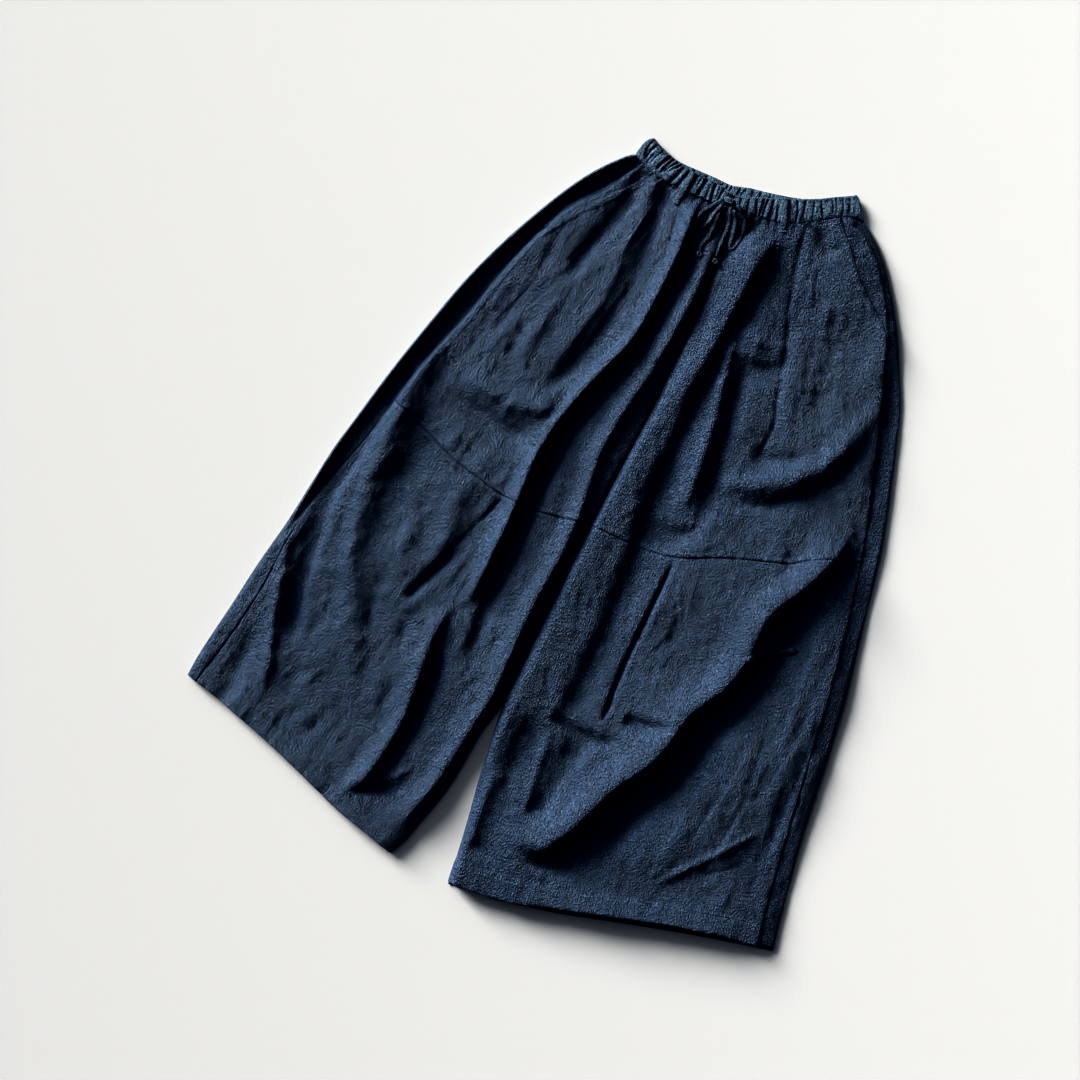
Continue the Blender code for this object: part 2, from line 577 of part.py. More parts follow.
def build_bearer(side, rows, collection):
    """The strip that shows between the pocket's mouth and the side seam."""
    share = np.linspace(0, 1, BEARER_COLUMNS + 1)[None, :, None]
    plan = (1 - share) * rows["seam_pocket"][:, None] + share * rows["mouth"][:, None]
    plan[0, :, 1] = np.interp(plan[0, :, 0], WAIST_LINE[:, 0], WAIST_LINE[:, 1])
    plan = part_edges(plan)
    sunk = POCKET_RECESS * ease(share[..., 0]) * np.ones(plan.shape[:2])
    skin, lining = skin_and_lining(plan, lambda x, y: rise(x, y, side),
                                   np.full(plan.shape[:2], CLOTH))
    drop = (lining - skin) / CLOTH * sunk[..., None]
    wall("pocket_bearer_" + side["name"], skin + drop, lining + drop, LINEN, collection)


def unit(vectors):
    """The vectors at length one."""
    return vectors / np.linalg.norm(vectors, axis=-1, keepdims=True)


def build_back(side, rows, collection):
    """The back of one leg: flat below, turned up at both edges, and over the side to its seam."""
    seam = np.vstack([rows["seam_upper"], rows["seam_lower"][1:]])
    inner = np.vstack([rows["inner_upper"], rows["inner_lower"][1:]])
    fold_line = side["lines"]["side_fold"]
    knee_y = side["knee_seam"][0][1]
    end_y = side["pocket_end_y"]
    at_side = np.vstack([
        stations(clip_line(fold_line, foot=end_y + 8), np.linspace(0, 1, POCKET_ROWS + 1)),
        stations(clip_line(fold_line, top=end_y + 8, foot=knee_y + 5),
                 np.linspace(0, 1, UPPER_ROWS - POCKET_ROWS + 1))[1:],
        stations(clip_line(fold_line, top=knee_y + 5), np.linspace(0, 1, LOWER_ROWS + 1))[1:],
    ])
    shares = (0, *BACK_COLUMN_SHARES, 1)
    top = waist_stretch(at_side[0, 0], FRONT_SEAM[0][0], shares) - (0, BACK_WAIST_DROP)
    foot = hem_stretch(side, at_side[-1], inner[-1], shares)
    at_side[0], at_side[-1] = top[0], foot[0]
    inner[0], inner[-1] = top[-1], foot[-1]
    seam[-1] = hem_stretch(side, seam[-1], seam[-1], (0,))[0]
    seam[0] = waist_stretch(seam[0, 0], seam[0, 0], (0,))[0]
    flat = patch(at_side, inner, top, foot, shares)
    at_side, inner = flat[:, 0], flat[:, -1]
    seam[0] += (0, -SEAM_GAP / 2)
    seam = seam + unit(at_side - seam) * SEAM_GAP / 2

    reach = np.zeros((len(flat), 1))
    reach[-1] = -side["hem_reach"]
    flat[..., 1] += reach
    inwards_from_side = unit(seam - at_side)
    inwards_from_inner = unit(at_side - inner)
    turned = ease((CROTCH_Y - inner[:, 1]) / 25)
    hem_y = np.interp(at_side[:, 0], *hem_order(side))
    layer = CLOTH + (HEM_CLOTH - CLOTH) * ease((hem_y + HEM_DEPTH - at_side[:, 1]) / 6)

    skin, lining = [], []
    for distance, height, lining_distance, lining_height in INNER_TURN:
        place = flat[:, -1] + inwards_from_inner * distance
        skin.append(np.column_stack([place, height * turned]))
        in_run = distance + (lining_distance - distance) * turned
        place = flat[:, -1] + inwards_from_inner * in_run[:, None]
        lining.append(np.column_stack([place, layer + (lining_height - layer) * turned]))
    for j in range(len(BACK_COLUMN_SHARES), 0, -1):
        skin.append(np.column_stack([flat[:, j], np.zeros(len(flat))]))
        lining.append(np.column_stack([flat[:, j], layer]))
    for distance, height, lining_distance, lining_height in SIDE_TURN:
        place = flat[:, 0] + inwards_from_side * distance
        skin.append(np.column_stack([place, np.full(len(flat), height)]))
        place = flat[:, 0] + inwards_from_side * lining_distance
        upper = np.maximum(lining_height, layer) if height < SIDE_EDGE_RISE else lining_height
        lining.append(np.column_stack([place, np.broadcast_to(upper, len(flat))]))
    strip = np.stack([at_side + (seam - at_side) * share for share in SIDE_STRIP_SHARES], axis=1)
    over, under = skin_and_lining(strip, lambda x, y: rise(x, y, side),
                                  np.full(strip.shape[:2], CLOTH))
    skin = np.concatenate([np.stack(skin, axis=1), over], axis=1)
    lining = np.concatenate([np.stack(lining, axis=1), under], axis=1)
    wall("back_" + side["name"], skin, lining, LINEN, collection)


def band_arch(x):
    """How far the front of the waistband stands off its back, from 0 at the ends to 1."""
    share = np.clip((x - BAND_RIGHT_END[-1][0]) / (BAND_LEFT_END[-1][0] - BAND_RIGHT_END[-1][0]), 0, 1)
    return np.sin(np.pi * share) ** 0.7


def band_rise(x, y, down):
    """Height of the front band's outer skin at plan points, down being 0 at its top edge."""
    crown = BAND_CROWN * np.sin(np.pi * down)
    return BAND_END_RISE + BAND_ARCH * band_arch(x) + crown - gather_waves(x, y)


def band_plan(top_table, down):
    """Plan points of one half of the waistband, from its top edge to the waist seam."""
    columns = np.linspace(0, 1, BAND_COLUMNS + 1)
    top = stations(smooth_line(top_table), columns)
    foot = stations(WAIST_LINE, columns)
    ends = [stations(smooth_line(table), down) for table in (BAND_RIGHT_END, BAND_LEFT_END)]
    right_end, left_end = ends
    right_end[0], right_end[-1] = top[0], foot[0]
    left_end[0], left_end[-1] = top[-1], foot[-1]
    v = np.array(down)[:, None, None]
    u = columns[None, :, None]
    plan = (1 - u) * right_end[:, None] + u * left_end[:, None] + (1 - v) * top + v * foot
    plan -= (1 - u) * (1 - v) * top[0] + u * (1 - v) * top[-1]
    plan -= (1 - u) * v * foot[0] + u * v * foot[-1]
    return part_edges(plan)


def build_waistband(collection):
    """The elastic band: a gathered front that stands off a flat back."""
    plan = band_plan(FRONT_BAND_TOP, BAND_ROWS)
    x, y = plan[..., 0], plan[..., 1]
    down = np.array(BAND_ROWS)[:, None] * np.ones_like(x)
    height = band_rise(x, y, down)
    under = BAND_END_RISE + BAND_ARCH * band_arch(x) - 0.5 * gather_waves(x, y) - BAND_CLOTH
    under = np.maximum(under, BAND_CLOTH + SEAM_GAP)
    wall("waistband_front", np.dstack([x, y, height]), np.dstack([x, y, under]),
         BAND_LINEN, collection)
    plan = band_plan(BACK_BAND_TOP, BACK_BAND_ROWS)
    x, y = plan[..., 0], plan[..., 1]
    hollow = 0.35 * gather_waves(x, y) * band_arch(x)
    wall("waistband_back", np.dstack([x, y, BAND_CLOTH - hollow]),
         np.dstack([x, y, np.zeros_like(x)]), BAND_LINEN, collection)


def support_rise(x, y):
    """Height of what lies at a plan point: the band's front, or a front panel."""
    x, y = np.asarray(x, float), np.asarray(y, float)
    seam_y = np.interp(x, WAIST_LINE[:, 0], WAIST_LINE[:, 1])
    centre = smooth_line(FRONT_SEAM)
    on_right = beside(centre, x, y) < 0
    panel = np.where(on_right, rise(x, y, RIGHT), rise(x, y, LEFT))
    band = band_rise(x, y, np.full_like(x, 0.5))
    return np.where(y > seam_y, band, panel)


def support_under(x, y, reach):
    """The highest support within a small reach of plan points."""
    around = [(dx, dy) for dx in (-reach, 0, reach) for dy in (-reach, 0, reach)]
    return np.max([support_rise(x + dx, y + dy) for dx, dy in around], axis=0)


def build_belt_loops(collection):
    """Two narrow strips that cross the band and are sewn down below it."""
    for name, top, foot in BELT_LOOPS:
        top, foot = np.array(top, float), np.array(foot, float)
        way = unit(foot - top)
        across = np.array([-way[1], way[0]])
        run = np.linspace(0, 1, 9)
        wide = np.linspace(-0.5, 0.5, 4) * BELT_LOOP_WIDTH
        plan = top + (foot - top) * run[:, None, None] + across * wide[None, :, None]
        ground = support_under(plan[..., 0], plan[..., 1], 1.0).max(axis=1)
        ground = np.maximum.reduce([ground, np.r_[ground[1:], ground[-1]], np.r_[ground[0], ground[:-1]]])
        level = (ground + 0.5)[:, None] * np.ones(plan.shape[:2])
        skin = np.dstack([plan, level + BELT_LOOP_CLOTH])
        lining = np.dstack([plan, level])
        wall(name, skin, lining, BAND_LINEN, collection)


def build_tie(collection):
    """The bow: a knot on the band, two loops and two hanging ends."""
    radius = TIE_WIDTH / 2
    bpy.ops.mesh.primitive_uv_sphere_add(segments=14, ring_count=8, radius=0.5)
    knot = bpy.context.object
    knot.name = "tie_knot"
    knot_x, knot_y = KNOT_CENTRE
    ground = float(support_under(knot_x, knot_y, KNOT_SIZE[1] / 3))
    middle = ground + 0.3 + KNOT_SIZE[2] / 2
    centre = to_metres((knot_x, knot_y, middle))
    for vertex in knot.data.vertices:
        vertex.co = [c * s * MM + o for c, s, o in zip(vertex.co, KNOT_SIZE, centre)]
    knot.data.shade_smooth()
    knot.data.materials.append(make_material("tie_knot_cloth", TIE_LINEN))
    for owner in list(knot.users_collection):
        owner.objects.unlink(knot)
    collection.objects.link(knot)

    for name, table in TIE_RUNS.items():
        line = smooth_line(table)
        count = int(np.linalg.norm(np.diff(line, axis=0), axis=1).sum() / TIE_POINT_STEP)
        plan = stations(line, np.linspace(0, 1, count + 1))
        lie = support_under(plan[:, 0], plan[:, 1], radius + 0.8) + radius + 0.8
        lie = np.maximum(lie, 0.6 * lie + 0.2 * (np.r_[lie[1:], lie[-1]] + np.r_[lie[0], lie[:-1]]))
        from_knot = np.linalg.norm(plan - np.array(KNOT_CENTRE), axis=1)
        start = ground + 0.3 + (LOOP_START_RISE if "loop" in name else END_START_RISE)
        held = ease((26 - from_knot) / 14)
        height = np.maximum(lie, start * held + lie * (1 - held))
        curve = bpy.data.curves.new(name, "CURVE")
        curve.dimensions = "3D"
        curve.bevel_depth = radius * MM
        curve.bevel_resolution = 2
        curve.use_fill_caps = True
        spline = curve.splines.new("POLY")
        spline.points.add(len(plan) - 1)
        for point, place in zip(spline.points, to_metres(np.column_stack([plan, height]))):
            point.co = (*place, 1.0)
        curve.materials.append(make_material(name + "_cloth", TIE_LINEN))
        collection.objects.link(bpy.data.objects.new(name, curve))


def main():
    for item in list(bpy.data.objects):
        bpy.data.objects.remove(item, do_unlink=True)
    collection = bpy.data.collections.new("hakama_trousers")
    bpy.context.scene.collection.children.link(collection)
    for side in (RIGHT, LEFT):
        rows = leg_rows(side)
        build_back(side, rows, collection)
        build_bearer(side, rows, collection)
        build_front(side, rows, collection)
    build_waistband(collection)
    build_belt_loops(collection)
    build_tie(collection)


main()
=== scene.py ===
"""Hakama trousers of navy linen, laid flat with the front up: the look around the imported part.

Plan points are in millimetres on the laid garment: x to the wearer's left, y up to the waist.
"""

import math

import bmesh
import bpy
import numpy as np
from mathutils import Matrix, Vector


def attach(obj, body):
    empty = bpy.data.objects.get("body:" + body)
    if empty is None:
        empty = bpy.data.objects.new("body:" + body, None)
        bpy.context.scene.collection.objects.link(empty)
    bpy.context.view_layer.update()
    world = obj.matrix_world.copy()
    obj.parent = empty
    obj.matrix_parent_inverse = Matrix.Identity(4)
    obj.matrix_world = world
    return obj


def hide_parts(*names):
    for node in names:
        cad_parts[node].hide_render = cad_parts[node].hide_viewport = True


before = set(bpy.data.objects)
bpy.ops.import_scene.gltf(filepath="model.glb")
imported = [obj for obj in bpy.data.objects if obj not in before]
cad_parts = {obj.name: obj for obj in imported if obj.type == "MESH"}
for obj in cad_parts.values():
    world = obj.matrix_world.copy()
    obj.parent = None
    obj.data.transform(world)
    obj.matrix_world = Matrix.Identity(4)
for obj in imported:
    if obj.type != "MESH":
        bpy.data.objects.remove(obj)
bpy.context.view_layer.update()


# The studio. A plain pale floor under a low key light and a broad one from the same side, its
# colour
# painted a little paler towards the waist: painted light falling off across the floor. The camera
# looks straight down on the garment, turned in the picture, and the view's tone has the soft, deep
# contrast of the photograph.
MM = 0.001
PICTURE_TURN = math.radians(25)
CAMERA_PLACE = (-0.0773, -0.0615, 3.264)
CAMERA_LENS = 85
VIEW_GAMMA = 0.46
VIEW_BLACK = (0.0360, 0.0260, 0.0070)
SKY = {"Color": (0.62, 0.84, 1.25, 1.0), "Strength": 0.09}
# Lights: name, way the light travels, strength, softness in degrees, colour
LIGHTS = (
    ("key", (0.94, -0.34, -0.33), 15.0, 22, (1.0, 1.0, 0.99)),
    ("broad_key", (0.90, -0.42, -0.70), 3.1, 80, (0.97, 0.99, 1.0)),
)
FLOOR_SIZE = 14
FLOOR_LEVEL = -0.0002
# The floor's two colours run from the hem's side to the waist's side: a painted falloff of light,
# paler towards the waist.
FLOOR_PAINTED_DIM = (0.427, 0.418, 0.4075, 1.0)    # at the hem's side of the picture
FLOOR_PAINTED_BRIGHT = (0.471, 0.462, 0.4515, 1.0)     # at the waist's side
FLOOR_TURN = math.radians(-45)
FLOOR_STRETCH = 0.5


def set_inputs(node, values):
    """Set a node's sockets by name."""
    for socket, value in values.items():
        node.inputs[socket].default_value = value


def new_material(name, values):
    """A new material with its nodes, its links and its shader, whose sockets are set."""
    material = bpy.data.materials.new(name)
    material.use_nodes = True
    tree = material.node_tree
    shader = tree.nodes["Principled BSDF"]
    set_inputs(shader, values)
    return material, tree.nodes, tree.links, shader


scene = bpy.context.scene
scene.view_settings.view_transform = "Standard"
scene.view_settings.look = "None"
scene.view_settings.gamma = VIEW_GAMMA
scene.view_settings.use_curve_mapping = True
scene.view_settings.curve_mapping.black_level = VIEW_BLACK

camera_data = bpy.data.cameras.new("camera")
camera_data.lens = CAMERA_LENS
camera_data.sensor_width = 36
camera_data.clip_start = 0.1
camera_data.clip_end = 50
camera = bpy.data.objects.new("camera", camera_data)
camera.location = CAMERA_PLACE
camera.rotation_euler = (0, 0, PICTURE_TURN)
scene.collection.objects.link(camera)
scene.camera = camera

world = bpy.data.worlds.new("studio")
world.use_nodes = True
set_inputs(world.node_tree.nodes["Background"], SKY)
scene.world = world

for light_name, travel, energy, softness, light_colour in LIGHTS:
    light_data = bpy.data.lights.new(light_name, "SUN")
    light_data.energy = energy
    light_data.angle = math.radians(softness)
    light_data.color = light_colour
    light = bpy.data.objects.new(light_name, light_data)
    light.rotation_euler = Vector(travel).to_track_quat("-Z", "Y").to_euler()
    scene.collection.objects.link(light)

bpy.ops.mesh.primitive_plane_add(size=FLOOR_SIZE, location=(0, 0, FLOOR_LEVEL))
floor = bpy.context.object
floor.name = "floor"
floor.data.name = "floor"
pale_floor, floor_nodes, floor_links, floor_shader = new_material(
    "pale_floor", {"Roughness": 0.9, "Specular IOR Level": 0.1})
floor_place = floor_nodes.new("ShaderNodeTexCoord")
floor_turn = floor_nodes.new("ShaderNodeMapping")
set_inputs(floor_turn, {"Rotation": (0, 0, FLOOR_TURN), "Scale": (FLOOR_STRETCH,) * 3,
                        "Location": (0.5, 0, 0)})
# Painted light: the floor's colour runs from the dimmer hem's side to the brighter waist's side.
painted_light_falloff = floor_nodes.new("ShaderNodeTexGradient")
painted_floor_light = floor_nodes.new("ShaderNodeValToRGB")
painted_floor_light.color_ramp.elements[0].color = FLOOR_PAINTED_DIM
painted_floor_light.color_ramp.elements[1].color = FLOOR_PAINTED_BRIGHT
for start, end in ((floor_place.outputs["Object"], floor_turn.inputs["Vector"]),
                   (floor_turn.outputs["Vector"], painted_light_falloff.inputs["Vector"]),
                   (painted_light_falloff.outputs["Fac"], painted_floor_light.inputs["Fac"]),
                   (painted_floor_light.outputs["Color"], floor_shader.inputs["Base Color"])):
    floor_links.new(start, end)
floor.data.materials.append(pale_floor)


# The cut of the legs, as they lie. The tables give the lines of each leg's panels: the fold at
# its side, the side seam that lies on the front, the pocket's mouth, the inside leg, the knee
# seam and the hem. The cloth is one layer of crinkled linen, doubled at the hem.
CLOTH = 1.1
HEM_CLOTH = 2.0
HEM_DEPTH = 27.0
SEAM_GAP = 0.16            # between the edges of two pieces, closed by thread below
LEAST_RISE = 3.4
LEAST_HEM_RISE = 5.0
LEAST_HEM_RUN = 20
LEAST_SOFTNESS = 1.2
INNER_EDGE_RISE = 2.4
SIDE_EDGE_RISE = 3.2
OUTER_FALL_TOP = -50       # where the cloth starts to lie lower towards its outer side
OUTER_FALL_RUN = 110
OUTER_FALL_WIDTH = 95
BACK_HEM_REACH = 4.0
PLAN_CENTRE = (22.99, -479.28)

# Lines of the laid garment: columns are x, y, from the waist to the hem
FRONT_SEAM = (
    (-17, -54), (-8, -80), (0, -110), (5, -150), (7, -200), (7, -260), (6, -330), (3, -390),
    (0, -450), (-3, -496), (-5, -550), (-6, -600), (-6, -650), (-7, -700), (-8, -745),
)
CROTCH_Y = -455
KNEE_Y = -496

RIGHT = {
    "name": "right",
    "outward": -1,
    "side_fold": (
        (-152, -42), (-166, -54), (-190, -83), (-212, -118), (-238, -170), (-262, -225),
        (-283, -285), (-299, -345), (-314, -405), (-325, -455), (-335, -505), (-343, -545),
        (-350, -600), (-357, -655), (-368, -718), (-378, -790), (-387, -850), (-390, -887),
    ),
    "side_seam": (
        (-140, -50), (-156, -75), (-172, -98), (-187, -116), (-202, -136), (-214, -160),
        (-223, -185), (-231, -210), (-240, -240), (-248, -270), (-255, -300), (-264, -335),
        (-274, -370), (-285, -410), (-297, -458), (-312, -520), (-328, -575), (-339, -620),
        (-345, -660), (-348, -700), (-350, -745), (-356, -790), (-364, -835), (-376, -890),
    ),
    "pocket_mouth": (
        (-125, -54), (-141, -80), (-152, -94), (-163, -107), (-175, -121), (-187, -133),
        (-197, -148), (-207, -163), (-221.5, -184),
    ),
    "pocket_end_y": -184,
    "inside_leg": (
        (-8, -745), (-14, -770), (-20, -800), (-23, -840), (-28, -880), (-38, -920),
        (-50, -962), (-60, -984),
    ),
    "knee_seam": (
        (-297, -458), (-265, -467), (-230, -482), (-195, -495), (-160, -502), (-125, -509),
        (-70, -508), (-20, -499), (-3, -496),
    ),
    "hem": (
        (-390, -887), (-350, -896), (-300, -910), (-250, -925), (-200, -942), (-150, -960),
        (-100, -973), (-60, -984),
    ),
    "hem_reach": 0.0,
    "hem_lift": 0.0,
    "strip_depth": 9.0,
    "strip_rim": 3.6,
    "inner_round": 22.0,
    "outer_round": 9.0,
    "outer_fall": 0.0,
}

LEFT = {
    "name": "left",
    "outward": 1,
    "side_fold": (
        (149, 2), (175, -17), (200, -42), (225, -75), (245, -105), (267, -145), (290, -190),
        (306, -235), (322, -285), (336, -330), (349, -380), (360, -435), (371, -490),
        (384, -555), (392, -605), (400, -665), (409, -740), (420, -805), (429, -855),
        (436, -888),
    ),
    "side_seam": (
        (131, 0), (150, -11), (168, -22), (190, -42), (210, -68), (225, -92), (236, -115),
        (246, -140), (258, -172), (270, -205), (282, -240), (294, -275), (305, -310),
        (318, -350), (328, -385), (337, -425), (349, -480), (360, -540), (368, -590),
        (376, -650), (384, -700), (392, -750), (401, -810), (409, -855), (415, -893),
    ),
    "pocket_mouth": (
        (120, -6), (134, -22), (150, -38), (161, -52), (175, -66), (190, -79), (205, -91),
        (219, -102), (234.5, -116),
    ),
    "pocket_end_y": -115,
    "inside_leg": (
        (-8, -745), (-5, -775), (-1, -805), (5, -850), (10, -880), (15, -910), (20, -945),
        (25, -985),
    ),
    "knee_seam": (
        (330, -394), (305, -402), (275, -415), (250, -432), (225, -442), (195, -452),
        (160, -466), (125, -483), (90, -493), (45, -496), (-3, -496),
    ),
    "hem": (
        (436, -888), (400, -896), (350, -909), (300, -921), (250, -936), (200, -951),
        (150, -965), (100, -976), (60, -982), (25, -985),
    ),
    "hem_reach": BACK_HEM_REACH,
    "hem_lift": 5.0,
    "strip_depth": 1.2,
    "strip_rim": 0.0,
    "inner_round": 9.0,
    "outer_round": 17.0,
    "outer_fall": 5.0,
}

WAIST_SEAM = (
    (-152, -42), (-140, -50), (-125, -54), (-105, -57), (-80, -58), (-60, -58), (-40, -57),
    (-17, -54), (0, -51), (20, -49), (40, -47), (57, -43), (75, -35), (95, -22), (110, -12),
    (120, -6), (131, 0), (141, 3), (149, 2),
)
# How high the cloth stands between its folds: columns are y, right leg, left leg
PUFF = (
    (0, 10.0, 10.0), (-60, 10.0, 10.0), (-110, 10.5, 10.5), (-300, 11.5, 12.0),
    (-460, 12.0, 12.5), (-620, 11.5, 12.5), (-780, 11.5, 12.5), (-900, 11.5, 13.0),
    (-990, 12.0, 14.0),
)

# Crumpling: columns are height, spacing, lean (None where it slants with the leg), how far it
# is drawn out down the leg, tilt across it, seed step, and whether its waves are sharp ridges
SLANT = 0.18
CRUMPLE = (
    (2.4, 48, None, 2.0, 0.0, 9, False), (1.5, 25, None, 1.9, 0.0, 1, False),
    (0.62, 13.5, -0.3, 1.6, 0.2, 2, False), (0.50, 8.2, None, 1.7, 0.0, 3, False),
    (0.42, 5.2, 0.3, 1.4, 0.0, 13, False), (0.9, 16, None, 4.0, 0.0, 4, True),
    (0.45, 15, 0.5, 1.0, -0.4, 12, True),
)

# Gathers at the waist: columns are place along the seam, depth, half width, reach down the leg
GATHERS = (
    (-146, 1.2, 3.0, 20), (-134, 1.4, 3.0, 22), (-120, 3.0, 3.6, 45), (-111, 2.0, 2.6, 22),
    (-104, 2.4, 2.8, 26), (-96, 3.2, 4.2, 55), (-86, 2.4, 2.8, 24), (-71, 2.6, 3.0, 30),
    (-58, 2.4, 2.8, 22), (-47, 1.6, 2.6, 26), (-38, 2.4, 2.8, 20), (-29, 2.2, 2.6, 24),
    (-17, 2.8, 4.0, 60), (-4, 2.0, 2.8, 26), (7, 2.2, 2.6, 20), (18, 2.6, 3.6, 26),
    (29, 2.4, 2.8, 18), (39, 2.0, 2.6, 18), (50, 1.6, 2.6, 16), (60, 2.0, 3.0, 24),
    (72, 3.0, 4.0, 26), (88, 1.6, 3.0, 30), (106, 2.8, 4.2, 18), (121, 1.4, 3.0, 16),
    (137, 1.0, 3.0, 14),
)
# How the gathers fan out: columns are x, sideways run for each step down
FAN = ((-150, -0.70), (-110, -0.45), (-60, -0.18), (-15, -0.02), (40, 0.30), (90, 0.45), (150, 0.8))

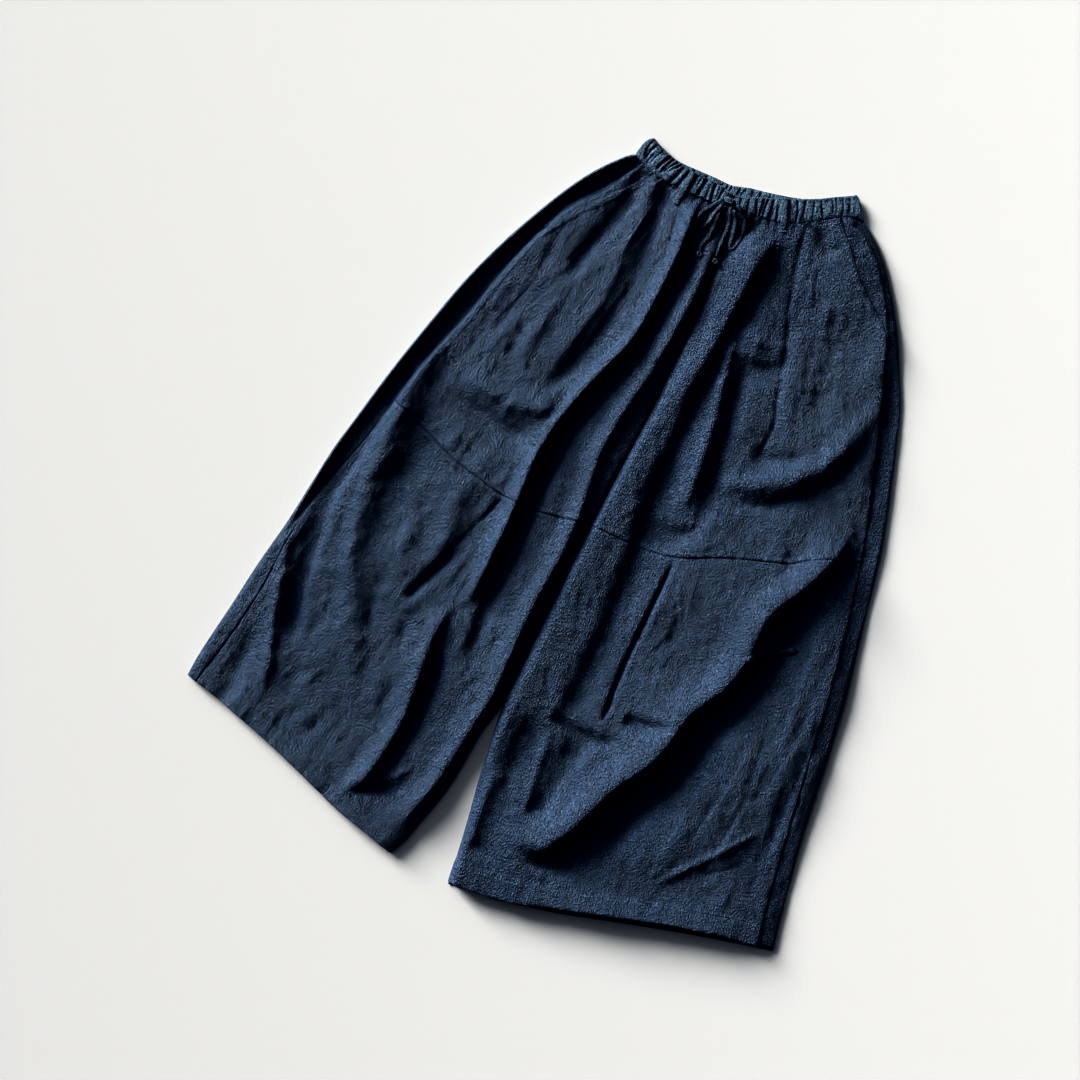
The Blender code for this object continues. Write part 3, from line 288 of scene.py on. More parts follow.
# Folds that run down each leg. Columns are height, half width towards -X, half width
# towards +X, length of the fade at the top, length of the fade at the foot, points (x, y)
DOWN_FOLDS = {
    "right": (
        (-6.8, 14, 5, 12, 60, ((-143, -46), (-170, -95), (-200, -134), (-225, -188), (-247, -253),
         (-263, -310), (-279, -356), (-291, -410), (-301, -460), (-308, -530), (-316, -600))),
        (-7.6, 17, 9, 60, 60, ((-316, -460), (-321, -560), (-318, -620), (-309, -700),
         (-297, -760), (-287, -815))),
        (6.8, 12, 16, 60, 230, ((-282, -350), (-287, -420), (-286, -500), (-282, -570),
         (-271, -640), (-250, -695), (-228, -740), (-204, -785), (-184, -830), (-168, -880))),
        (-3.4, 16, 26, 100, 60, ((-254, -350), (-254, -420), (-252, -490), (-250, -560),
         (-246, -620), (-238, -660))),
        (-6.8, 11, 10, 10, 60, ((-131, -54), (-133, -82), (-136, -110), (-144, -140), (-153, -170),
         (-160, -205), (-167, -245))),
        (3.1, 12, 7, 10, 60, ((-113, -58), (-112, -95), (-113, -130), (-112, -170), (-112, -210),
         (-116, -250), (-126, -300), (-138, -345))),
        (-4.6, 10, 11, 12, 50, ((-96, -55), (-93, -105), (-88, -160), (-87, -205), (-92, -255),
         (-106, -305), (-124, -350), (-136, -380))),
        (-2.8, 7, 8, 6, 25, ((-97, -50), (-96, -70), (-92, -95))),
        (13.0, 10, 7, 25, 70, ((-55, -60), (-52, -105), (-50, -160), (-51, -215), (-56, -260),
         (-68, -295), (-82, -335), (-95, -380), (-103, -425), (-104, -480), (-102, -540),
         (-103, -610), (-104, -670))),
        (-6.8, 9, 11, 35, 50, ((-28, -110), (-36, -165), (-41, -220), (-47, -275), (-62, -325),
         (-76, -380), (-83, -440), (-80, -510), (-80, -575), (-80, -635), (-76, -690),
         (-70, -740))),
        (9.2, 13, 8, 30, 70, ((-12, -85), (-9, -135), (-8, -185), (-14, -245), (-20, -300),
         (-29, -355), (-33, -410), (-26, -470), (-22, -540), (-28, -620), (-28, -690), (-27, -750),
         (-34, -810), (-43, -870), (-58, -925), (-76, -970))),
        (8.8, 13, 8, 45, 50, ((-124, -655), (-126, -690), (-126, -725), (-120, -775), (-117, -820),
         (-122, -865), (-132, -915), (-142, -955))),
        (-6.8, 8, 14, 40, 25, ((-112, -700), (-109, -740), (-103, -795), (-104, -845),
         (-108, -890), (-102, -925))),
        (5.2, 16, 12, 40, 60, ((-176, -500), (-168, -560), (-166, -610), (-178, -660))),
        (2.8, 12, 12, 30, 40, ((-212, -560), (-208, -610), (-206, -660))),
        (-2.8, 10, 12, 25, 40, ((-214, -650), (-214, -700), (-205, -755))),
        (-3.1, 3.2, 3.5, 8, 40, ((-121, -512), (-126, -530), (-137, -560), (-147, -590),
         (-156, -620))),
        (-6.8, 7, 8, 40, 14, ((-143, -585), (-155, -620), (-166, -650), (-178, -686))),
        (-3.2, 13, 13, 34, 34, ((-230, -322), (-240, -365), (-256, -410))),
        (5.2, 9, 7, 30, 50, ((-352, -660), (-338, -705), (-328, -745), (-316, -785), (-304, -825),
         (-294, -870))),
        (-6.0, 12, 12, 60, 12, ((-330, -775), (-333, -825), (-335, -865), (-336, -905))),
        (-2.2, 10, 14, 40, 40, ((-268, -780), (-265, -840), (-266, -880))),
        (-2.4, 10, 11, 30, 30, ((-166, -690), (-162, -730), (-166, -765))),
        (-2.2, 12, 16, 30, 40, ((-186, -760), (-182, -795), (-174, -830))),
        (-1.4, 7, 9, 30, 30, ((-212, -845), (-216, -885), (-222, -915))),
        (-1.4, 8, 10, 30, 30, ((-150, -765), (-146, -810), (-150, -850))),
        (-1.3, 7, 9, 30, 30, ((-240, -835), (-244, -875), (-250, -905))),
        (2.2, 5, 12, 20, 30, ((-200, -120), (-205, -150), (-212, -185), (-222, -225))),
        (-2.5, 6, 9, 20, 25, ((-203, -170), (-200, -205), (-200, -245))),
        (2.2, 6, 9, 20, 30, ((-222, -235), (-232, -275), (-236, -315))),
        (-2.2, 6, 8, 20, 20, ((-212, -275), (-218, -305), (-222, -335))),
        (-2.2, 6, 8, 20, 20, ((-188, -285), (-192, -320), (-190, -355))),
        (2.2, 8, 8, 20, 20, ((-160, -245), (-168, -285), (-172, -330), (-166, -365))),
    ),
    "left": (
        (-6.4, 8, 9, 10, 22, ((26, -52), (17, -74), (8, -98), (3, -124))),
        (11.6, 24, 11, 45, 120, ((53, -54), (48, -90), (44, -130), (42, -170), (41, -210),
         (38, -250), (30, -300), (22, -350))),
        (4.4, 8, 34, 90, 70, ((28, -230), (22, -300), (17, -350), (13, -400), (9, -450), (7, -500),
         (7, -560), (9, -620), (9, -700), (8, -770), (7, -830))),
        (-6.6, 9, 16, 110, 50, ((68, -56), (67, -95), (64, -145), (58, -200), (54, -245),
         (51, -290), (52, -340), (54, -390), (58, -440))),
        (-8.4, 13, 30, 60, 50, ((50, -360), (54, -410), (60, -460), (66, -510), (70, -575),
         (72, -640), (72, -700), (74, -745))),
        (-7.2, 14, 22, 40, 25, ((34, -735), (36, -790), (38, -850), (40, -905), (42, -950))),
        (6.0, 6, 72, 60, 60, ((14, -800), (20, -850), (26, -900), (32, -960))),
        (2.8, 5, 6, 30, 30, ((58, -750), (64, -795), (70, -835), (76, -880))),
        (-7.6, 24, 12, 35, 22, ((110, -722), (104, -770), (96, -815), (90, -872))),
        (1.0, 9, 7, 20, 40, ((102, -520), (100, -560), (99, -620), (99, -680), (101, -725))),
        (4.6, 5, 62, 50, 80, ((119, -478), (119, -520), (120, -570), (124, -620))),
        (-5.6, 3.2, 3.6, 30, 20, ((112, -489), (112, -520), (112, -560), (111, -600), (111, -640),
         (113, -680), (116, -722))),
        (-2.5, 4, 5, 6, 40, ((84, -30), (91, -72), (101, -108), (113, -150), (127, -188),
         (141, -238), (153, -275), (155, -305), (149, -348))),
        (6.4, 10, 7, 30, 60, ((60, -190), (66, -232), (74, -272), (82, -315), (89, -360),
         (93, -405), (93, -450))),
        (-6.4, 8, 13, 30, 40, ((87, -215), (95, -268), (103, -318), (111, -370), (118, -420),
         (121, -455))),
        (3.1, 8, 16, 20, 40, ((132, -150), (148, -200), (156, -250), (166, -290))),
        (-3.1, 12, 16, 30, 40, ((162, -110), (182, -160), (194, -215), (198, -280))),
        (5.0, 18, 18, 25, 40, ((232, -95), (240, -130), (244, -170), (250, -210))),
        (9.0, 14, 16, 100, 30, ((262, -165), (262, -205), (253, -243), (245, -280), (227, -312),
         (202, -336), (176, -354), (148, -374), (124, -392))),
        (-4.8, 8, 14, 50, 25, ((268, -240), (262, -268), (253, -302), (236, -334), (213, -358),
         (186, -380), (156, -402))),
        (-3.1, 10, 12, 25, 30, ((284, -190), (292, -230), (300, -275), (310, -320))),
        (-7.4, 12, 9, 40, 20, ((334, -362), (329, -388), (318, -412), (306, -438), (290, -462))),
        (17.6, 24, 9, 90, 25, ((302, -345), (298, -385), (286, -428), (269, -465), (251, -500),
         (247, -535), (247, -572), (239, -607), (221, -641), (207, -675), (202, -708), (188, -745),
         (167, -780), (152, -815), (140, -848), (123, -880), (106, -915))),
        (-10.5, 13, 34, 30, 20, ((290, -455), (284, -500), (286, -545), (278, -585), (262, -625),
         (243, -665), (236, -705), (222, -745), (202, -782), (183, -822), (161, -860), (139, -893),
         (114, -930))),
        (4.6, 14, 95, 90, 90, ((300, -430), (308, -520), (290, -620), (262, -720), (226, -820),
         (196, -900))),
        (2.6, 5, 22, 50, 60, ((322, -470), (326, -530), (333, -600), (338, -660))),
        (2.1, 5, 20, 50, 60, ((350, -500), (356, -560), (357, -620), (350, -690), (345, -760))),
        (2.2, 5, 20, 50, 50, ((268, -690), (266, -750), (262, -810), (250, -875))),
        (1.9, 4, 18, 40, 50, ((304, -640), (300, -710), (292, -780), (283, -840))),
        (2.0, 4, 16, 40, 40, ((374, -620), (380, -690), (384, -760), (390, -810))),
        (-2.0, 9, 9, 40, 30, ((368, -690), (372, -750), (374, -810))),
        (1.9, 4, 14, 30, 30, ((330, -720), (326, -780), (318, -840))),
        (1.9, 4, 12, 20, 30, ((214, -820), (208, -860), (198, -905))),
    ),
}

# Folds that run across each leg. Columns are height, half width up the leg, half width
# down the leg, length of the fade at each end, points (x, y) from -X to +X
ACROSS_FOLDS = {
    "right": (
        (8.0, 18, 12, 50, 24, ((-246, -384), (-205, -394), (-165, -398), (-130, -390),
         (-100, -378))),
        (-8.0, 12, 22, 60, 25, ((-246, -418), (-200, -425), (-160, -434), (-114, -430))),
        (3.4, 9, 7, 12, 12, ((-120, -900), (-98, -893), (-76, -875))),
        (-6.0, 9, 8, 18, 16, ((-146, -936), (-115, -922), (-72, -900))),
        (2.2, 7, 7, 14, 14, ((-178, -372), (-160, -360), (-140, -352))),
        (-2.2, 7, 8, 14, 14, ((-188, -412), (-170, -400), (-156, -384))),
    ),
    "left": (
        (-5.2, 8, 10, 16, 16, ((94, -30), (112, -42), (127, -50), (144, -36))),
        (3.4, 10, 10, 20, 20, ((56, -186), (85, -192), (118, -190), (136, -184))),
        (-6.0, 10, 24, 30, 30, ((56, -224), (88, -228), (120, -220), (146, -206))),
        (-4.4, 9, 12, 26, 26, ((134, -326), (165, -323), (190, -314), (218, -298))),
        (-6.6, 10, 20, 20, 34, ((40, -466), (70, -468), (100, -462), (136, -440))),
        (1.4, 8, 12, 20, 20, ((96, -482), (130, -466), (164, -438))),
        (6.0, 5, 6, 10, 10, ((244, -572), (262, -556), (280, -543), (305, -527))),
        (-6.0, 8, 9, 15, 15, ((52, -738), (80, -740), (112, -744), (146, -738))),
        (-6.8, 8, 11, 12, 15, ((136, -702), (165, -700), (203, -690))),
        (2.8, 7, 8, 20, 20, ((262, -876), (290, -843), (322, -805), (360, -757))),
        (-1.3, 9, 9, 26, 26, ((300, -848), (335, -824), (370, -798))),
    ),
}

# Small sharp creases, placed one by one. Columns are height, half width to the right hand and
# to the left hand as one goes along the crease, and points (x, y)
CREASES = {
    "right": (
        (-1.6, 1.8, 2.2, ((-72, -80), (-70, -100), (-66, -120), (-63, -145), (-70, -162),
         (-75, -185))),
        (1.7, 1.8, 3.0, ((-101, -72), (-107, -110), (-113, -150), (-115, -178))),
        (1.4, 2.0, 2.4, ((-120, -56), (-131, -62), (-142, -72))),
        (-1.2, 2.2, 2.2, ((-124, -66), (-136, -80), (-146, -100))),
        (1.2, 2.2, 2.6, ((-116, -530), (-118, -600), (-127, -682))),
        (1.6, 2.4, 2.0, ((-122, -516), (-136, -558), (-152, -606), (-168, -648))),
        (-0.9, 2.4, 2.4, ((-185, -405), (-165, -385))),
        (-0.9, 2.2, 2.6, ((-155, -395), (-132, -383), (-115, -375))),
        (1.0, 2.4, 2.0, ((-235, -800), (-245, -830))),
        (-1.0, 2.6, 2.6, ((-215, -868), (-214, -892))),
        (0.8, 2.6, 2.6, ((-250, -300), (-228, -352), (-212, -402))),
        (-0.8, 2.6, 2.2, ((-190, -210), (-205, -262), (-222, -310))),
        (0.9, 2.2, 3.0, ((-150, -420), (-178, -446), (-205, -470))),
        (0.8, 2.4, 2.4, ((-282, -600), (-268, -650), (-270, -704))),
        (-0.9, 2.4, 2.4, ((-236, -560), (-220, -612), (-218, -650))),
        (0.8, 2.0, 2.6, ((-60, -520), (-56, -566), (-64, -612))),
        (-0.8, 2.0, 2.6, ((-58, -650), (-52, -700), (-57, -752))),
    ),
    "left": (
        (-1.0, 2.0, 2.0, ((58, -50), (58, -75), (57, -95), (52, -124))),
        (1.1, 1.8, 2.2, ((122, -500), (130, -515), (138, -535), (147, -550), (155, -572))),
        (1.0, 2.2, 2.2, ((147, -570), (140, -590), (130, -620), (128, -652))),
        (0.9, 2.2, 2.2, ((163, -585), (155, -610), (152, -642))),
        (-0.9, 2.0, 2.0, ((10, -605), (30, -603), (50, -605))),
        (-0.8, 2.0, 2.0, ((12, -640), (32, -638), (50, -632))),
        (1.0, 2.2, 2.2, ((0, -745), (30, -735), (60, -718))),
        (0.9, 2.2, 2.2, ((190, -655), (200, -675), (208, -692))),
        (1.6, 2.4, 3.2, ((250, -562), (275, -548), (302, -529))),
        (1.1, 2.4, 3.0, ((355, -760), (310, -820), (270, -872))),
        (-1.1, 2.4, 2.4, ((365, -800), (338, -822), (305, -846))),
        (0.9, 2.4, 2.4, ((275, -780), (265, -817))),
        (0.9, 2.4, 2.4, ((265, -850), (255, -872))),
        (-0.8, 2.2, 2.2, ((120, -70), (128, -100), (140, -128))),
        (0.8, 2.4, 2.4, ((190, -150), (205, -190), (214, -232))),
        (-0.8, 2.2, 2.2, ((176, -250), (190, -285), (196, -320))),
        (0.9, 2.4, 2.0, ((70, -420), (96, -440), (122, -462))),
        (-0.8, 2.2, 2.2, ((300, -600), (312, -650), (318, -706))),
        (0.8, 2.6, 2.6, ((330, -640), (326, -700), (332, -752))),
    ),
}


# The seeded small creases: ranges in millimetres, and leans in radians
SMALL_CREASE_Y = (-930, -70)
SMALL_CREASE_LENGTH = (10, 46)
SMALL_CREASE_HEIGHT = (0.18, 0.62)
SMALL_CREASE_NARROW = (1.2, 2.4)
SMALL_CREASE_BROAD = (2.2, 4.6)
SMALL_CREASE_SWAY = 0.42
SMALL_CREASE_BOW = 0.07
STRAY_SHARE = 0.24
STRAY_LEAN = (0.7, 1.5)

POINTS_AT_ONCE = 4000      # how many points are measured against a line at a time
NOISE_CELLS = 97


def smooth_line(points, per_span=16):
    """Closely spaced points of a smooth line through a table's points."""
    p = np.array(points, float)
    p = np.vstack([2 * p[0] - p[1], p, 2 * p[-1] - p[-2]])
    t = np.linspace(0, 1, per_span, endpoint=False)[:, None]
    spans = []
    for a, b, c, d in zip(p, p[1:], p[2:], p[3:]):
        bend = (2 * a - 5 * b + 4 * c - d) * t ** 2 + (3 * b - a - 3 * c + d) * t ** 3
        spans.append(0.5 * (2 * b + (c - a) * t + bend))
    return np.vstack(spans + [p[-2:-1]])


def line_length(line):
    """Length of a line of points."""
    return np.linalg.norm(np.diff(line, axis=0), axis=1).sum()


def stations(line, shares):
    """Points at the given shares of a line's length."""
    steps = np.linalg.norm(np.diff(line, axis=0), axis=1)
    run = np.concatenate([[0], np.cumsum(steps)])
    columns = [np.interp(shares, run / run[-1], line[:, k]) for k in range(line.shape[1])]
    return np.column_stack(columns)


def clip_line(line, top=None, foot=None):
    """The stretch of a line that lies between two heights on the plan."""
    y = line[:, 1]
    top = y[0] if top is None else top
    foot = y[-1] if foot is None else foot
    ends = [[np.interp(-at, -y, line[:, 0]), at] for at in (top, foot)]
    middle = line[(y < top - 0.01) & (y > foot + 0.01)]
    return np.vstack([ends[:1], middle, ends[1:]])


def ease(share):
    """A smooth step from 0 to 1."""
    s = np.clip(share, 0, 1)
    return s * s * (3 - 2 * s)


def unit(vectors):
    """The vectors at length one."""
    return vectors / np.linalg.norm(vectors, axis=-1, keepdims=True)


def beside(line, x, y):
    """Distance of plan points to the +X side of a line that runs down the plan."""
    down = -line[:, 1]
    lean = np.gradient(line[:, 0], down)
    at = np.interp(-y, down, line[:, 0])
    return (x - at) / np.sqrt(1 + np.interp(-y, down, lean) ** 2)


def nearest(line, x, y):
    """Distance of plan points from a line, the share of its length there, and the side."""
    points = np.column_stack([np.ravel(x), np.ravel(y)])
    starts, ways = line[:-1], np.diff(line, axis=0)
    squares = np.maximum((ways ** 2).sum(axis=1), 1e-9)
    gap, share, hand = [], [], []
    for block in np.array_split(points, len(points) // POINTS_AT_ONCE + 1):
        rel = block[:, None] - starts
        t = np.clip((rel * ways).sum(axis=2) / squares, 0, 1)
        off = rel - t[..., None] * ways
        far = np.hypot(off[..., 0], off[..., 1])
        best = far.argmin(axis=1)
        rows = np.arange(len(block))
        gap.append(far[rows, best])
        share.append((best + t[rows, best]) / len(ways))
        hand.append(ways[best, 0] * off[rows, best, 1] - ways[best, 1] * off[rows, best, 0])
    shape = np.shape(x)
    return [np.concatenate(part).reshape(shape) for part in (gap, share, hand)]


def noise(x, y, spacing, seed):
    """Smooth seeded waves between -1 and 1, with the given spacing in millimetres."""
    table = np.random.default_rng(seed).uniform(-1, 1, (NOISE_CELLS, NOISE_CELLS))
    u, v = x / spacing, y / spacing
    i, j = np.floor(u).astype(int), np.floor(v).astype(int)
    s, t = ease(u - i), ease(v - j)
    here, beyond = i % NOISE_CELLS, (i + 1) % NOISE_CELLS
    rows = [table[here, k % NOISE_CELLS] * (1 - s) + table[beyond, k % NOISE_CELLS] * s
            for k in (j, j + 1)]
    return rows[0] * (1 - t) + rows[1] * t


def fold(run, off, height, before, after, fade_in, fade_out, start, end):
    """The rise of one fold: a soft ridge, or a trough where its height is negative."""
    width = np.where(off < 0, before, after)
    fade = ease((run - start) / fade_in) * ease((end - run) / fade_out)
    return height * fade * np.exp(-(off / width) ** 2)


def crease(x, y, height, right_hand, left_hand, line, taper=0.3):
    """The rise of one sharp crease, sunk where its height is negative."""
    reach = 4 * max(right_hand, left_hand)
    low, high = line.min(axis=0) - reach, line.max(axis=0) + reach
    near = (x > low[0]) & (x < high[0]) & (y > low[1]) & (y < high[1])
    total = np.zeros(np.shape(x))
    if near.any():
        gap, share, hand = nearest(line, x[near], y[near])
        width = np.where(hand < 0, right_hand, left_hand)
        fade = ease(np.minimum(share, 1 - share) / taper)
        total[near] = height * fade * np.exp(-(gap / width) ** 1.5)
    return total


def hem_order(side):
    """The hem's x and y, with x rising."""
    line = side["lines"]["hem"]
    line = line[np.argsort(line[:, 0])]
    return line[:, 0], line[:, 1]


def small_creases(side):
    """Seeded short creases all over a leg, most of them running down it."""
    draw = np.random.default_rng(side["seed"])
    outer, inner = side["lines"]["side_fold"], side["lines"]["inner"]
    rows = []
    for _ in range(side["small_creases"]):
        y = draw.uniform(*SMALL_CREASE_Y)
        at = [np.interp(-y, -line[:, 1], line[:, 0]) for line in (outer, inner)]
        across = draw.uniform(0.03, 0.97)
        x = at[0] + (at[1] - at[0]) * across
        lean = 0.16 * side["outward"] * (1 - across) + draw.normal(0, SMALL_CREASE_SWAY)
        if draw.uniform() < STRAY_SHARE:
            lean += draw.choice((-1, 1)) * draw.uniform(*STRAY_LEAN)
        length = draw.uniform(*SMALL_CREASE_LENGTH)
        way = np.array([math.sin(lean), -math.cos(lean)])
        bow = np.array([way[1], -way[0]]) * draw.normal(0, SMALL_CREASE_BOW) * length
        start = np.array([x, y])
        points = (start - way * length / 2, start + bow, start + way * length / 2)
        height = draw.choice((-1, 1)) * draw.uniform(*SMALL_CREASE_HEIGHT)
        narrow, broad = draw.uniform(*SMALL_CREASE_NARROW), draw.uniform(*SMALL_CREASE_BROAD)
        if draw.uniform() < 0.5:
            narrow, broad = broad, narrow
        rows.append((height, narrow, broad, smooth_line(points, 3)))
    return rows


def prepare(side, seed, count):
    """Smooth lines of one leg, worked out from its tables."""
    lines = {key: smooth_line(side[key]) for key in
             ("side_fold", "side_seam", "pocket_mouth", "inside_leg", "knee_seam", "hem")}
    lines["inner"] = np.vstack([smooth_line(FRONT_SEAM), lines["inside_leg"][1:]])
    side["lines"] = lines
    name = side["name"]
    side["down"] = [(*row[:-1], smooth_line(row[-1])) for row in DOWN_FOLDS[name]]
    side["across"] = [(*row[:-1], smooth_line(row[-1])) for row in ACROSS_FOLDS[name]]
    side["creases"] = [(*row[:-1], smooth_line(row[-1], 6)) for row in CREASES[name]]
    side["puff_column"] = 1 if name == "right" else 2
    side["seed"] = seed
    side["small_creases"] = count
    side["creases"] += small_creases(side)


WAIST_LINE = smooth_line(WAIST_SEAM)
prepare(RIGHT, seed=11, count=420)
prepare(LEFT, seed=29, count=480)


def gather_waves(x, y):
    """How far the waist gathers sink the cloth at plan points."""
    below = np.interp(x, WAIST_LINE[:, 0], WAIST_LINE[:, 1]) - y
    fan = np.array(FAN)
    place = x - below * np.interp(x, fan[:, 0], fan[:, 1])
    total = np.zeros_like(x)
    for at, depth, half, reach in GATHERS:
        spread = half * (1 + np.clip(below, 0, None) / 60)
        fade = ease(1 - below / reach)
        total += depth * fade * np.exp(-((place - at) / spread) ** 2)
    return total


def turn_down(body, inside, edge_rise, width):
    """Round the cloth down to its folded edge, as a quarter of an ellipse."""
    share = np.clip((inside + 0.25) / width, 0, 1)
    return edge_rise + (body - edge_rise) * np.sqrt(1 - (1 - share) ** 2)


def crumple(x, y, side):
    """The restless surface of washed linen, drawn out along the leg."""
    total = np.zeros_like(x)
    for height, spacing, lean, drawn_out, tilt, seed_step, is_ridged in CRUMPLE:
        lean = SLANT * side["outward"] if lean is None else lean
        wave = noise(x + lean * y, y / drawn_out + tilt * x, spacing, side["seed"] + seed_step)
        total += height * ((0.5 - np.abs(wave)) if is_ridged else wave)
    return total


def rise(x, y, side):
    """Height of the cloth's outer skin over the surface, in millimetres."""
    puff = np.array(PUFF)
    body = np.interp(-y, -puff[:, 0], puff[:, side["puff_column"]])
    for height, before, after, fade_in, fade_out, line in side["down"]:
        body = body + fold(-y, beside(line, x, y), height, before, after, fade_in, fade_out,
                           -line[0, 1], -line[-1, 1])
    for height, above, under, fade_in, fade_out, line in side["across"]:
        off = np.interp(x, line[:, 0], line[:, 1]) - y
        body = body + fold(x, off, height, above, under, fade_in, fade_out,
                           line[0, 0], line[-1, 0])
    for height, right_hand, left_hand, line in side["creases"]:
        body = body + crease(x, y, height, right_hand, left_hand, line)
    body = body + crumple(x, y, side) - gather_waves(x, y)
    outer = side["outward"] * beside(side["lines"]["side_fold"], x, y)
    body = body - side["outer_fall"] * ease(1 + outer / OUTER_FALL_WIDTH) * \
        ease((OUTER_FALL_TOP - y) / OUTER_FALL_RUN)
    hem_y = np.interp(x, *hem_order(side))
    least = LEAST_RISE + (LEAST_HEM_RISE - LEAST_RISE) * \
        ease(1 - (y - hem_y - HEM_DEPTH) / LEAST_HEM_RUN)
    body = least + LEAST_SOFTNESS * np.logaddexp(0, (body - least) / LEAST_SOFTNESS)
    inner = -side["outward"] * beside(side["lines"]["inner"], x, y)
    body = turn_down(body, -inner, INNER_EDGE_RISE, side["inner_round"])
    return turn_down(body, -outer, SIDE_EDGE_RISE, side["outer_round"])


def meet(outer, inner, top, foot):
    """Give four edges the same points at their corners."""
    outer[0], outer[-1], inner[0], inner[-1] = top[0], foot[0], top[-1], foot[-1]


def patch(outer, inner, top, foot, across, down):
    """Plan points between four edges that meet, drawn in by half a seam's gap."""
    meet(outer, inner, top, foot)
    u = np.asarray(across)[None, :, None]
    v = np.asarray(down)[:, None, None]
    ruled = (1 - u) * outer[:, None] + u * inner[:, None]
    lofted = (1 - v) * top[None] + v * foot[None]
    corners = (1 - u) * (1 - v) * top[0] + u * (1 - v) * top[-1] + \
        (1 - u) * v * foot[0] + u * v * foot[-1]
    plan = ruled + lofted - corners
    for edge, next_in in ((plan[0], plan[1]), (plan[-1], plan[-2]),
                          (plan[:, 0], plan[:, 1]), (plan[:, -1], plan[:, -2])):
        way = next_in - edge
        edge += way / np.linalg.norm(way, axis=-1, keepdims=True) * SEAM_GAP / 2
    return plan


PLAIN_EDGE = (0.0, 0.5, 1.1, 1.9, 3.0)


def stitched_edge(*rows):
    """Distances from an edge at which a sewn edge with stitch rows needs points."""
    steps = list(PLAIN_EDGE)
    for at in rows:
        steps += [at - 1.7, at - 0.8, at, at + 0.8, at + 1.7]
    return tuple(sorted(steps))


def spread(length, start, end, step):
    """Shares of a length: close points at both edges, even ones between."""
    first, last = start[-1], length - end[-1]
    count = max(2, int(round((last - first) / step)))
    middle = np.linspace(first, last, count + 1)[1:-1]
    places = np.concatenate([start, middle, length - np.array(end)[::-1]])
    return places / length


def to_metres(points):
    """Plan points and heights in millimetres as places in the part's frame."""
    return (np.asarray(points) - (PLAN_CENTRE[0], PLAN_CENTRE[1], 0.0)) * MM


def grid_normals(skin):
    """Normals of a grid of points, up and out of the cloth."""
    down, across = np.gradient(skin, axis=0), np.gradient(skin, axis=1)
    normal = np.cross(down, across)
    return normal / np.linalg.norm(normal, axis=-1, keepdims=True)


def turn_outwards(piece):
    """Point all the faces of a closed piece outwards."""
    bm = bmesh.new()
    bm.from_mesh(piece.data)
    bmesh.ops.recalc_face_normals(bm, faces=bm.faces)
    bm.to_mesh(piece.data)
    bm.free()


def add_mesh(name, points, faces, material, stands_for=(), uv=None, turned=True):
    """A finished piece from points in millimetres, its UV map in metres of cloth."""
    mesh = bpy.data.meshes.new(name)
    mesh.from_pydata(to_metres(points).tolist(), [], faces)
    if uv is not None:
        layer = mesh.uv_layers.new(name="cloth")
        corners = np.empty(len(mesh.loops), dtype=np.int32)
        mesh.loops.foreach_get("vertex_index", corners)
        flat_uv = np.ascontiguousarray(uv[corners], dtype=np.float32).ravel()
        layer.data.foreach_set("uv", flat_uv)
    mesh.shade_smooth()
    mesh.materials.append(material)
    mesh.update()
    piece = bpy.data.objects.new(name, mesh)
    scene.collection.objects.link(piece)
    if turned:
        turn_outwards(piece)
    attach(piece, "root")
    if stands_for:
        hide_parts(*stands_for)
    return piece


def shell(name, skin, thickness, material, stands_for, lining=None):
    """A closed thin wall of cloth under a grid of outer points in millimetres."""
    rows, columns = skin.shape[:2]
    level = skin.copy()
    if lining is None:
        lining = skin - grid_normals(skin) * np.asarray(thickness)[..., None]
        level[..., 2] = 0
    run_across = np.linalg.norm(np.diff(level, axis=1), axis=2)
    run_down = np.linalg.norm(np.diff(level, axis=0), axis=2)
    u = np.concatenate([np.zeros((rows, 1)), np.cumsum(run_across, axis=1)], axis=1)
    v = np.concatenate([np.zeros((1, columns)), np.cumsum(run_down, axis=0)], axis=0)
    u = u - u[:, columns // 2:columns // 2 + 1]
    uv = np.stack([u, -v], axis=-1).reshape(-1, 2) * MM
    index = np.arange(rows * columns).reshape(rows, columns)
    a, b, c, d = index[:-1, :-1], index[1:, :-1], index[1:, 1:], index[:-1, 1:]
    top = np.stack([a, b, c, d], axis=-1).reshape(-1, 4)
    under = top[:, ::-1] + rows * columns
    rim = np.concatenate([index[0, :], index[1:, -1], index[-1, -2::-1], index[-2:0:-1, 0]])
    after = np.roll(rim, -1)
    side = np.stack([rim, after, after + rows * columns, rim + rows * columns], axis=-1)
    points = np.concatenate([skin.reshape(-1, 3), lining.reshape(-1, 3)])
    piece = add_mesh(name, points, np.concatenate([top, under, side]).tolist(), material,
                     stands_for, np.tile(uv, (2, 1)), turned=False)
    return piece


LINEN_LOOK = {
    "Roughness": 0.55, "Specular IOR Level": 1.0, "Specular Tint": (0.92, 0.97, 1.0, 1.0),
    "Sheen Weight": 0.05, "Sheen Roughness": 0.45, "Sheen Tint": (0.60, 0.85, 1.0, 1.0),
}
THREAD_PITCH = 0.00105     # metres of cloth from one thread to the next
WAVE_BANDS = 0.314         # wave texture scale that gives one band for each unit
# The tone's darkest end also carries the painted shade of the crinkle's and the pleats' hollows.
TONE_RANGE = (0.80, 1.14)  # where the darkest and the palest thread lie


